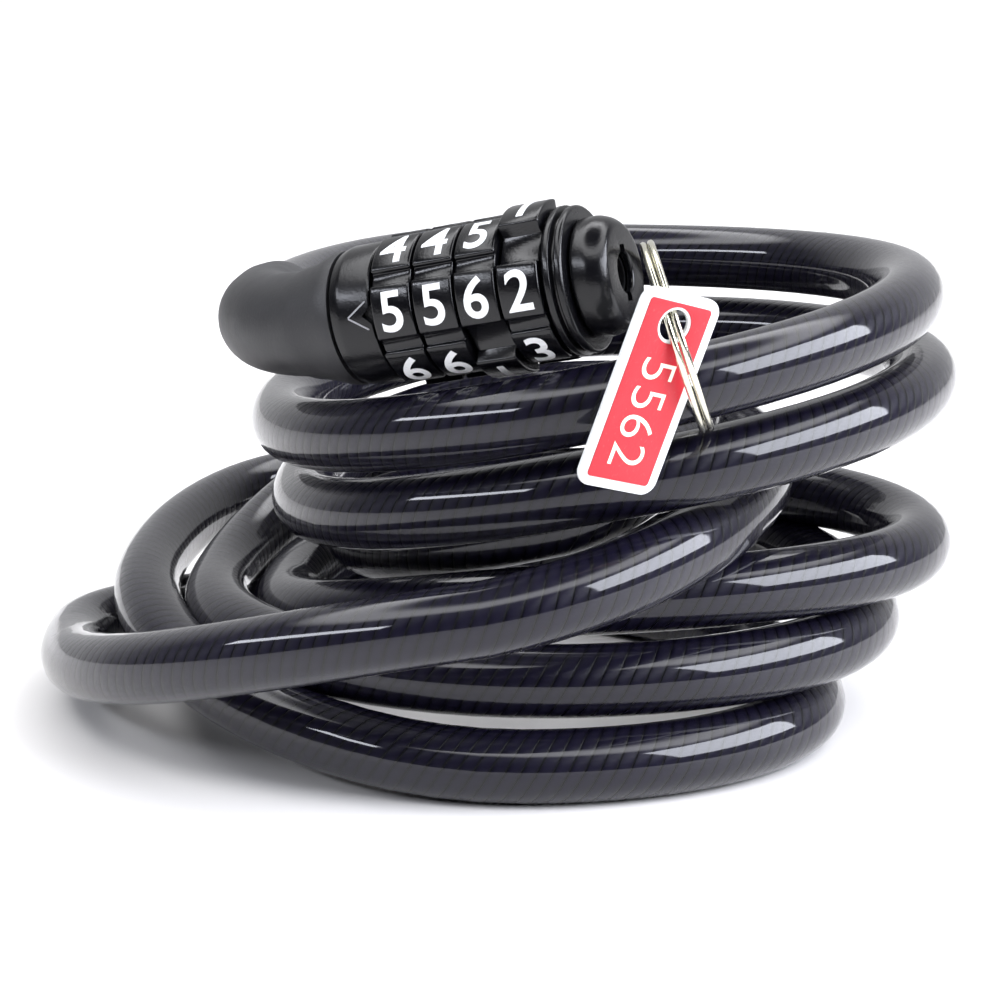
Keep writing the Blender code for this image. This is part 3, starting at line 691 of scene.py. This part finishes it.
def block(name: str, size: tuple[float, float, float], centre: tuple[float, float, float],
          place: Matrix) -> bpy.types.Object:
    """Make a plain block in millimetres, for cutting."""
    build = bmesh.new()
    bmesh.ops.create_cube(build, size=1.0)
    bmesh.ops.scale(build, vec=Vector(size) * MM, verts=build.verts)
    bmesh.ops.translate(build, vec=Vector(centre) * MM, verts=build.verts)
    return placed(build, name, place)


class SweepTree:
    """Geometry Nodes that sweep a round section along a path and note each point's lay."""

    tree: bpy.types.NodeTree | None = None

    @classmethod
    def build(cls) -> bpy.types.NodeTree:
        """Build the tree once; its inputs are Path, Sides and Finish."""
        if cls.tree is not None:
            return cls.tree
        tree = bpy.data.node_groups.new("round_sweep", "GeometryNodeTree")
        for name, kind in (("Path", "NodeSocketGeometry"), ("Sides", "NodeSocketInt"),
                           ("Finish", "NodeSocketMaterial")):
            tree.interface.new_socket(name=name, in_out="INPUT", socket_type=kind)
        tree.interface.new_socket(name="Piece", in_out="OUTPUT", socket_type="NodeSocketGeometry")
        wiring = Wiring(tree)
        start, end = wiring.add("NodeGroupInput"), wiring.add("NodeGroupOutput")
        line = wiring.add("GeometryNodeMeshToCurve", {0: start.outputs["Path"]})
        girth = wiring.add("GeometryNodeInputNamedAttribute", {"Name": "girth"}, data_type="FLOAT")
        run = wiring.add("GeometryNodeSplineParameter")
        held = wiring.add("GeometryNodeCaptureAttribute")
        held.capture_items.new("FLOAT", "Run")
        wiring.feed(held, {0: line.outputs[0], 1: run.outputs["Length"]})
        section = wiring.add("GeometryNodeCurvePrimitiveCircle", {
            "Resolution": start.outputs["Sides"], "Radius": 1.0})
        spot = wiring.add("GeometryNodeInputPosition")
        round_held = wiring.add("GeometryNodeCaptureAttribute")
        round_held.capture_items.new("VECTOR", "Spot")
        wiring.feed(round_held, {0: section.outputs[0], 1: spot.outputs[0]})
        skin = wiring.add("GeometryNodeCurveToMesh", {
            "Curve": held.outputs[0], "Profile Curve": round_held.outputs[0], "Scale": girth.outputs[0],
            "Fill Caps": True})
        parts = wiring.add("ShaderNodeSeparateXYZ", {0: round_held.outputs[1]})
        lay = wiring.add("ShaderNodeCombineXYZ", {
            0: parts.outputs[0], 1: parts.outputs[1], 2: held.outputs[1]})
        noted = wiring.add(
            "GeometryNodeStoreNamedAttribute", {"Geometry": skin.outputs[0], "Name": "lay",
            "Value": lay.outputs[0]}, data_type="FLOAT_VECTOR", domain="POINT")
        real = wiring.add("GeometryNodeRealizeInstances", {0: noted.outputs[0]})
        dressed = wiring.add("GeometryNodeSetMaterial", {
            "Geometry": real.outputs[0], "Material": start.outputs["Finish"]})
        wiring.feed(end, {0: dressed.outputs[0]})
        cls.tree = tree
        return tree


def swept(name: str, points: Sequence[Vector], radii: Sequence[float], sides: int,
          finish: str) -> bpy.types.Object:
    """Sweep a round section along points with the sweep tree.

    Args:
        name: the piece's name.
        points: the middle line, in metres.
        radii: the section's radius at each point, in metres.
        sides: sides of the section.
        finish: name of its material.

    Returns:
        A plain mesh with the lay attribute.
    """
    mesh = bpy.data.meshes.new(name)
    mesh.from_pydata([tuple(point) for point in points], [(i, i + 1) for i in range(len(points) - 1)], [])
    mesh.attributes.new("girth", "FLOAT", "POINT").data.foreach_set("value", list(radii))
    obj = link(bpy.data.objects.new(name, mesh))
    tree = SweepTree.build()
    modifier = obj.modifiers.new("sweep", "NODES")
    modifier.node_group = tree
    values = {"Sides": sides, "Finish": Finishes.made[finish]}
    for item in tree.interface.items_tree:
        if item.in_out == "INPUT" and item.name in values:
            modifier[item.identifier] = values[item.name]
    obj = plain_mesh(obj, name)
    obj.data.shade_smooth()
    obj.data.set_sharp_from_angle(angle=math.radians(50.0))
    return obj


def lettering(name: str, text: str, size: float, boldness: float, thickness: float) -> bpy.types.Mesh:
    """Make one figure as a mesh, centred on the origin, in millimetres.

    Args:
        name: the mesh's name.
        text: the figure.
        size: its type size.
        boldness: how far its outline grows.
        thickness: its full thickness.

    Returns:
        A closed mesh.
    """
    curve = bpy.data.curves.new(name, "FONT")
    curve.body = text
    curve.size = size * MM
    curve.offset = boldness * MM
    curve.extrude = 0.5 * thickness * MM
    curve.resolution_u = 6
    obj = link(bpy.data.objects.new(name, curve))
    graph = bpy.context.evaluated_depsgraph_get()
    mesh = bpy.data.meshes.new_from_object(obj.evaluated_get(graph))
    bpy.data.objects.remove(obj)
    xs, ys = [v.co.x for v in mesh.vertices], [v.co.y for v in mesh.vertices]
    mesh.transform(Matrix.Translation((-0.5 * (min(xs) + max(xs)), -0.5 * (min(ys) + max(ys)), 0.0)))
    return mesh


# ---------------------------------------------------------------- the sub-assemblies

@dataclass
class NumberWheel:
    """One number wheel: six digit pads, the raised first pad, grooves, and its white figures."""

    number: int
    shown: int
    pitch: float = 6.0
    width: float = 5.7
    pad_radius: float = 10.0
    first_radius: float = 10.9
    groove_radius: float = 9.35
    recess_radius: float = 8.8
    bore_radius: float = 7.0
    pad_half: float = 21.5
    corner: float = 0.35
    digits: int = 6
    pad_steps: int = 12
    edge: float = 0.35
    figure_size: float = 7.5
    figure_growth: float = 0.1
    figure_depth: float = 0.3
    figure_proud: float = 0.06
    slice_height: float = 0.4
    slices: int = 7

    @staticmethod
    def angle(digit: int) -> float:
        """Angle of a digit's pad from the first, in degrees."""
        return 0.0 if digit == 1 else 72.0 + 54.0 * (digit - 2)

    def outline(self) -> list[tuple[float, float]]:
        """Outer edge in millimetres, with every pad's corners softened."""
        points: list[tuple[float, float]] = []
        for digit in range(1, self.digits + 1):
            middle = self.angle(digit)
            top = self.first_radius if digit == 1 else self.pad_radius
            before = self.recess_radius if digit in (1, 2) else self.groove_radius
            after = self.recess_radius if digit in (self.digits, 1) else self.groove_radius
            soft = math.degrees(self.corner / top)
            left, right = middle - self.pad_half, middle + self.pad_half
            points += [(before, left - 0.6), (before + 0.12, left), (top - self.corner, left + 0.1),
                       (top - 0.3 * self.corner, left + 0.35 * soft), (top, left + soft)]
            points += [(top, left + soft + (right - left - 2 * soft) * i / self.pad_steps)
                       for i in range(1, self.pad_steps)]
            points += [(top, right - soft), (top - 0.3 * self.corner, right - 0.35 * soft),
                       (top - self.corner, right - 0.1), (after + 0.12, right), (after, right + 0.6)]
        return [(r * math.cos(math.radians(a)), r * math.sin(math.radians(a))) for r, a in points]

    def place(self) -> Matrix:
        """The wheel's frame at rest, showing its figure."""
        middle = (self.number - 2.5) * self.pitch * MM
        turn = Matrix.Rotation(math.radians(-self.angle(self.shown)), 4, "Z")
        return HEAD.matrix() @ Matrix.Translation((0.0, 0.0, middle)) @ turn

    def wheel(self) -> bpy.types.Object:
        """Build the black wheel."""
        name = f"wheel_{self.number}_moulding"
        obj = plate(
            name, [self.outline(), circle(self.bore_radius, 60)], self.width, self.edge, self.place())
        return dress(obj, "wheel_gloss", "wheel", f"wheel_{self.number}", f"number_wheel_{self.number}")

    def figure(self, digit: int) -> bpy.types.Mesh:
        """Make one figure, bent round its pad in the wheel's own frame."""
        mesh = lettering(
            f"figure_{digit}", str(digit), self.figure_size, self.figure_growth, self.figure_depth)
        part = bmesh.new()
        part.from_mesh(mesh)
        bmesh.ops.remove_doubles(part, verts=part.verts, dist=1e-7)
        for i in range(-self.slices, self.slices + 1):
            bmesh.ops.bisect_plane(
                part, geom=part.verts[:] + part.edges[:] + part.faces[:],
                plane_co=(0.0, i * self.slice_height * MM, 0.0), plane_no=(0.0, 1.0, 0.0))
        top = (self.first_radius if digit == 1 else self.pad_radius) * MM
        for vertex in part.verts:
            x, y, z = vertex.co
            angle = math.radians(self.angle(digit)) - y / top
            radius = top + z + (self.figure_proud - 0.5 * self.figure_depth) * MM
            vertex.co = (radius * math.cos(angle), radius * math.sin(angle), x)
        part.to_mesh(mesh)
        part.free()
        return mesh

    def figures(self) -> bpy.types.Object:
        """Build the wheel's white figures as one piece."""
        meshes = [self.figure(digit) for digit in range(1, self.digits + 1)]
        obj = gathered(f"wheel_{self.number}_figures", meshes, self.place())
        return dress(obj, "number_white", "wheel", f"wheel_{self.number}")

    def build(self) -> None:
        """Build the wheel and its figures."""
        self.wheel()
        self.figures()


@dataclass
class HeadShell:
    """The head's fixed outer pieces: sleeve with its index mark, end collar, nose and boot."""

    sleeve_radius: float = 9.4
    sleeve_span: tuple[float, float] = (-18.5, -12.3)
    pointer_size: tuple[float, float, float] = (0.3, 0.2, 3.2)
    pointer_spread: float = 0.95
    pointer_back: float = 1.9
    pointer_slant: float = math.radians(-34.0)
    nose_radius: float = 7.8
    face_radius: float = 6.4
    mouth_radius: float = 2.6
    keyway: tuple[float, float] = (1.6, 3.65)
    boot_start: float = -0.0188
    boot_flare: tuple[float, ...] = (9.0, 9.1, 8.7, 8.15, 7.8, 7.6)

    def sleeve(self) -> None:
        """Build the sleeve, its notch at the reading row and its pointer."""
        low, high = self.sleeve_span
        radius = self.sleeve_radius
        profile = [(radius, high), (radius, -17.0), (radius - 0.5, low), (5.4, low), (5.4, high)]
        place = HEAD.matrix()
        tip = block(
            "notch", (1.6, 1.8, 1.8), (0.0, 0.0, 0.0), place
            @ Matrix.Translation((radius * MM, 0.0, high * MM))
            @ Matrix.Rotation(math.radians(45.0), 4, "X"))
        sleeve = worked(turned("sleeve_shell", profile, place, 0.35), Work.CUT, [tip])
        dress(sleeve, "shell_gloss", "shell", "lock", "index_sleeve")
        self.pointer()

    def pointer_arm(self, side: float) -> bpy.types.Mesh:
        """Make the pointer's upper (-1) or lower (1) arm, bent round the sleeve."""
        spot = Vector((self.sleeve_radius, side * self.pointer_spread,
                       self.sleeve_span[1] - self.pointer_back)) * MM
        arm = block("pointer_arm", self.pointer_size, (0.0, 0.0, 0.0),
                    Matrix.Translation(spot) @ Matrix.Rotation(side * self.pointer_slant, 4, "X"))
        mesh = arm.data
        bpy.data.objects.remove(arm)
        for vertex in mesh.vertices:
            out, aside, along = vertex.co
            vertex.co = (out * math.cos(aside / out), out * math.sin(aside / out), along)
        return mesh

    def pointer(self) -> None:
        """Build the thin open arrow that marks the reading row."""
        arms = [self.pointer_arm(side) for side in (-1.0, 1.0)]
        dress(gathered("reading_pointer", arms, HEAD.matrix()), "pointer_grey", "shell", "lock")

    def collar(self) -> None:
        """Build the grooved collar beyond the last wheel."""
        profile = [(9.3, 15.0), (9.6, 14.7), (9.6, 14.1), (8.9, 13.9), (8.9, 13.5), (9.8, 13.3),
                   (9.8, 12.6), (9.5, 12.3), (3.0, 12.3), (3.0, 15.0)]
        dress(turned("collar_shell", profile, HEAD.matrix(), 0.15), "shell_gloss", "shell", "lock",
              "end_collar")

    def nose(self) -> None:
        """Build the nose with its mouth and the two keyways."""
        profile = [
            (self.face_radius, 20.0), (self.nose_radius - 0.5, 19.0), (self.nose_radius, 17.6),
            (self.nose_radius, 15.3), (3.0, 15.3), (3.0, 19.1), (self.mouth_radius, 19.1),
            (self.mouth_radius, 20.0)]
        width, reach = self.keyway
        slot = block("keyway", (width, 2.0 * reach, 6.0), (0.0, 0.0, 19.0), HEAD.matrix())
        nose = worked(turned("nose_shell", profile, HEAD.matrix(), 0.5), Work.CUT, [slot])
        dress(nose, "shell_gloss", "shell", "lock", "nose_cap")

    def boot(self) -> None:
        """Build the soft boot that swells towards the sleeve."""
        bend = ROUTE.boot_points()
        line = [HEAD.point(self.boot_start), HEAD.point(-0.0196)] + bend
        line = [point + SHIFT for point in line]
        count = len(line) - 1
        radii = [(7.5 - 0.8 * (i / count) ** 0.8) * MM for i in range(count + 1)]
        for i, radius in enumerate(self.boot_flare):
            radii[i] = radius * MM
        radii[-2], radii[-1] = 6.55 * MM, 6.0 * MM
        boot = swept("boot_sleeve", line, radii, 48, "boot_soft")
        dress(boot, "boot_soft", "boot", "lock", "head_boot")

    def build(self) -> None:
        """Build every outer piece of the head."""
        self.sleeve()
        self.collar()
        self.nose()
        self.boot()


@dataclass
class CoiledCable:
    """The jacketed cable on its whole route."""

    radius: float = 0.005
    sides: int = 28

    def build(self, plug_pieces: Sequence[bpy.types.Object]) -> None:
        """Args:
            plug_pieces: not used.
        """
        points = ROUTE.points()
        cable = swept("cable_jacket", points, [self.radius] * len(points), self.sides, "smoky_jacket")
        dress(cable, "smoky_jacket", "jacket", "lock", "cable")
        round(ROUTE.length(points), 2)


@dataclass
class Plug:
    """The plug on the cable's far end."""

    fin_count: int = 4
    pitch: float = 6.0

    def place(self) -> Matrix:
        """The plug's frame: Z along the plug, Y up."""
        up = Vector((0.0, 0.0, 1.0))
        turn = Matrix((up.cross(ROUTE.plug_direction), up, ROUTE.plug_direction)).transposed()
        return Matrix.Translation(ROUTE.end + SHIFT) @ turn.to_4x4()

    def build(self) -> list[bpy.types.Object]:
        """Build the plug and return its pieces."""
        place = self.place()
        boot = turned(
            "plug_boot_sleeve", [(6.0, 11.0), (6.6, 10.2), (6.6, 3.0), (5.9, -6.0), (5.3, -6.0),
            (5.3, 11.0)], place, 0.4)
        collar = turned(
            "plug_collar_shell", [(0.0, 15.0), (5.8, 15.0), (6.3, 14.4), (6.3, 11.8), (5.9, 11.3),
            (0.0, 11.3)], place, 0.3, closed=False)
        pin = turned(
            "plug_pin_turned", [(0.0, 46.8), (1.3, 46.8), (1.95, 46.0), (1.95, 16.5), (5.6, 16.5),
            (5.6, 15.3), (0.0, 15.3)], place, 0.2, closed=False, steps=48)
        fins = [block(f"fin_{i}", (1.1, 7.0, 1.5), (0.0, 0.0, 45.55 - self.pitch * i), place)
                for i in range(self.fin_count)]
        pin = worked(pin, Work.JOIN, fins)
        return [dress(boot, "boot_soft", "boot", "lock", "plug_boot"),
                dress(collar, "shell_gloss", "shell", "lock", "plug_collar"),
                dress(pin, "plated_steel", "steel", "lock", "lock_pin")]


@dataclass
class RingAndTag:
    """The split ring on the top turn, and the code tag that hangs on it."""

    mean_radius: float = 12.4
    wire_radius: float = 0.45
    turns: float = 1.9
    centre: Vector = Vector((0.0226, -0.0486, 0.0633))
    normal: Vector = Vector((-0.953, 0.015, -0.302)).normalized()
    tag_at: float = math.radians(18.0)
    yaw: float = math.radians(28.0)
    lean: float = math.radians(10.0)
    tilt: float = math.radians(-16.4)
    length: float = 26.3
    width: float = 12.0
    thickness: float = 0.6
    hole: float = 2.0
    hole_down: float = 4.2
    edge: float = 0.14
    corner: float = 2.0
    label_inset: float = 1.3
    label_corner: float = 0.5
    label_thickness: float = 0.12
    label_edge: float = 0.02
    label_lift: float = 0.05
    label_hole_gap: float = 0.4
    code: str = "5562"
    code_size: float = 7.4
    code_growth: float = -0.08
    code_thickness: float = 0.06
    code_start: float = 5.9
    code_pitch: float = 3.8
    code_lift: float = 0.12
    wire_steps: int = 240
    turn_gap: float = 0.12

    def ring_frame(self) -> Matrix:
        """The ring's frame: X to its front, Y up, Z along its normal."""
        up = (Vector((0.0, 0.0, 1.0)) - self.normal * self.normal.z).normalized()
        turn = Matrix((up.cross(self.normal), up, self.normal)).transposed().to_4x4()
        return Matrix.Translation(self.centre + SHIFT) @ turn

    def tag_frame(self) -> Matrix:
        """The tag's frame: X to its right, Y to its top edge, Z out of its printed face."""
        face = Vector((math.sin(self.yaw) * math.cos(self.lean), -math.cos(self.yaw) * math.cos(self.lean),
                       -math.sin(self.lean)))
        steepest = (Vector((0.0, 0.0, 1.0)) - face * face.z).normalized()
        upright = Matrix((steepest.cross(face), steepest, face)).transposed()
        turn = upright @ Matrix.Rotation(self.tilt, 3, "Z")
        spoke = Vector((math.cos(self.tag_at), math.sin(self.tag_at), 0.0)) * self.mean_radius * MM
        return Matrix.Translation(self.ring_frame() @ spoke) @ turn.to_4x4()

    def ring(self) -> None:
        """Build the two-turn wire ring."""
        pitch = 2.0 * self.wire_radius + self.turn_gap
        points = []
        for i in range(self.wire_steps + 1):
            turn = self.turns * i / self.wire_steps
            angle = self.tag_at + 2.0 * math.pi * (turn - 0.5 * (self.turns - 1.0))
            points.append(
                self.ring_frame() @ (Vector((self.mean_radius * math.cos(angle),
                self.mean_radius * math.sin(angle), pitch * (turn - 0.5 * self.turns))) * MM))
        ring = swept("split_ring_wire", points, [self.wire_radius * MM] * len(points), 14, "ring_wire")
        dress(ring, "ring_wire", "ring_wire", "ring", "split_ring")

    @staticmethod
    def panel(width: float, height: float, radius: float, middle: float) -> list[tuple[float, float]]:
        """Outline of a rounded rectangle whose middle is at (0, middle)."""
        points = []
        for corner in range(4):
            cx = (0.5 * width - radius) * (1 if corner in (0, 3) else -1)
            cy = (0.5 * height - radius) * (1 if corner in (0, 1) else -1) + middle
            for step in range(9):
                a = 0.5 * math.pi * (corner + step / 8)
                points.append((cx + radius * math.cos(a), cy + radius * math.sin(a)))
        return points

    def code_figure(self, i: int) -> bpy.types.Mesh:
        """Make the code's figure i in the tag's frame, with its top to the right."""
        mesh = lettering(f"code_{i}", self.code[i], self.code_size, self.code_growth, self.code_thickness)
        spot = Vector(
            (0.0, -self.code_start - self.code_pitch * i, 0.5 * self.thickness + self.code_lift)) * MM
        mesh.transform(Matrix.Translation(spot) @ Matrix.Rotation(math.radians(-90.0), 4, "Z"))
        return mesh

    def tag(self) -> None:
        """Build the white plate, its red panel and its printed code."""
        place = self.tag_frame()
        middle = self.hole_down - 0.5 * self.length
        outline = self.panel(self.width, self.length, self.corner, middle)
        white = plate("tag_card", [outline, circle(self.hole)], self.thickness, self.edge, place)
        dress(white, "tag_white", "tag", "tag", "tag_plate")
        border = 2.0 * self.label_inset
        inner = self.panel(self.width - border, self.length - border, self.label_corner, middle)
        lift = Matrix.Translation((0.0, 0.0, (0.5 * self.thickness + self.label_lift) * MM))
        red = plate("tag_panel", [inner, circle(self.hole + self.label_hole_gap)], self.label_thickness,
                    self.label_edge, place @ lift)
        dress(red, "label_red", "label", "tag", "tag_label")
        figures = [self.code_figure(i) for i in range(len(self.code))]
        dress(gathered("tag_code", figures, place), "print_cream", "label", "tag")

    def build(self) -> None:
        """Build the ring and the tag."""
        self.ring()
        self.tag()


class Inside:
    """Finishes for the CAD pieces that stay: the works inside the head and the plug."""

    FINISHES: dict[str, str] = {
        "core_tube": "dark_steel", "retaining_clip": "plated_steel", "cable_ferrule": "plated_steel",
        "cross_pin": "plated_steel", "plug_ferrule": "plated_steel", "wheel_hub": "cast_hub",
        "gate_ring": "gate_brass", "detent_ball": "plated_steel", "detent_spring": "plated_steel",
        "wire_rope_end": "plated_steel", "plug_rope_end": "plated_steel"}

    def build(self) -> None:
        """Dress every CAD node that is still shown."""
        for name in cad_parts:
            for start, finish in self.FINISHES.items():
                if name.startswith(start):
                    obj = bpy.data.objects[name]
                    obj.data.materials.clear()
                    obj.data.materials.append(Finishes.made[finish])
                    LOG.info("%s: %s", name, finish)


# ---------------------------------------------------------------- the studio

LAMP_AIM = Vector((0.0, 0.0, 0.03))


@dataclass
class Studio:
    """Camera, pale floor and soft light."""

    distance: float = 0.375
    elevation: float = math.radians(14.0)
    aim: Vector = Vector((0.0, 0.0, 0.0297))
    floor_half: float = 3.0

    def camera(self) -> None:
        """Place the camera."""
        data = bpy.data.cameras.new("camera")
        data.lens = 90.0
        data.sensor_width = 36.0
        data.clip_start = 0.01
        obj = link(bpy.data.objects.new("camera", data))
        out = Vector((0.0, -math.cos(self.elevation), math.sin(self.elevation)))
        obj.location = self.aim + SHIFT + out * self.distance
        obj.rotation_euler = (-out).to_track_quat("-Z", "Y").to_euler()
        bpy.context.scene.camera = obj

    def floor(self) -> None:
        """Lay the plain pale floor."""
        mesh = bpy.data.meshes.new("floor")
        half = self.floor_half
        mesh.from_pydata([(-half, -half, 0.0), (half, -half, 0.0), (half, half, 0.0), (-half, half, 0.0)],
                         [], [(0, 1, 2, 3)])
        obj = link(bpy.data.objects.new("floor", mesh))
        material, wiring, shader = start_material("pale_floor")
        wiring.feed(shader, {"Base Color": (0.80, 0.785, 0.77, 1.0), "Roughness": 0.5})
        mesh.materials.append(material)

    @staticmethod
    def lamp(name: str, size: tuple[float, float], power: float, spot: Vector) -> None:
        """Hang one soft light that points at the coil.

        Args:
            name: its name.
            size: its width and height in metres.
            power: its power in watts.
            spot: where it hangs.
        """
        data = bpy.data.lights.new(name, "AREA")
        data.shape = "RECTANGLE"
        data.size, data.size_y = size
        data.energy = power
        data.color = (0.88, 0.91, 1.0)
        obj = link(bpy.data.objects.new(name, data))
        obj.location = spot
        obj.rotation_euler = (LAMP_AIM - spot).to_track_quat("-Z", "Y").to_euler()

    @staticmethod
    def surround() -> None:
        """Make the surround: a white backdrop for the camera, and light from above for the object."""
        world = bpy.data.worlds.new("surround")
        world.use_nodes = True
        wiring = Wiring(world.node_tree)
        shown = world.node_tree.nodes["Background"]
        place = wiring.add("ShaderNodeTexCoord").outputs["Generated"]
        parts = wiring.add("ShaderNodeSeparateXYZ", {0: place})
        height = parts.outputs[2]
        lower = wiring.add(
            "ShaderNodeMapRange", {"Value": height, "From Min": 0.70, "From Max": 0.80},
            interpolation_type="SMOOTHSTEP")
        upper = wiring.add(
            "ShaderNodeMapRange", {"Value": height, "From Min": 0.86, "From Max": 0.94},
            interpolation_type="SMOOTHSTEP")
        band = wiring.math("SUBTRACT", lower.outputs[0], upper.outputs[0])
        behind = wiring.add(
            "ShaderNodeMapRange", {"Value": parts.outputs[1], "From Min": 0.2, "From Max": 0.7,
            "To Min": 0.03, "To Max": 0.7}, interpolation_type="SMOOTHSTEP").outputs[0]
        glow = wiring.math("ADD", wiring.math("MULTIPLY", band, 5.0), behind)
        seen = wiring.add("ShaderNodeLightPath").outputs["Is Camera Ray"]
        strength = wiring.math(
            "ADD", seen, wiring.math("MULTIPLY", wiring.math("SUBTRACT", 1.0, seen), glow))
        wiring.feed(shown, {"Color": (0.97, 0.975, 1.0, 1.0), "Strength": strength})
        bpy.context.scene.world = world

    def light(self) -> None:
        """Set the surround and the soft lights."""
        self.surround()
        self.lamp("right_window", (1.1, 0.55), 27.0, Vector((0.95, -0.35, 0.58)))
        self.lamp("left_strip", (0.9, 0.10), 5.0, Vector((-0.8, -0.45, 0.55)))
        bpy.context.scene.view_settings.view_transform = "Standard"

    def build(self) -> None:
        """Set up the studio."""
        self.camera()
        self.floor()
        self.light()


def main() -> None:
    """Build the studio, the finishes and every sub-assembly in order."""
    logging.basicConfig(level=logging.INFO, format="%(name)s: %(message)s")
    Studio().build()
    Finishes.build()
    plug = Plug().build()
    CoiledCable().build(plug)
    HeadShell().build()
    for number, shown in enumerate((5, 5, 6, 2), start=1):
        NumberWheel(number, shown).build()
    RingAndTag().build()
    Inside().build()


if __name__ == "__main__":
    main()
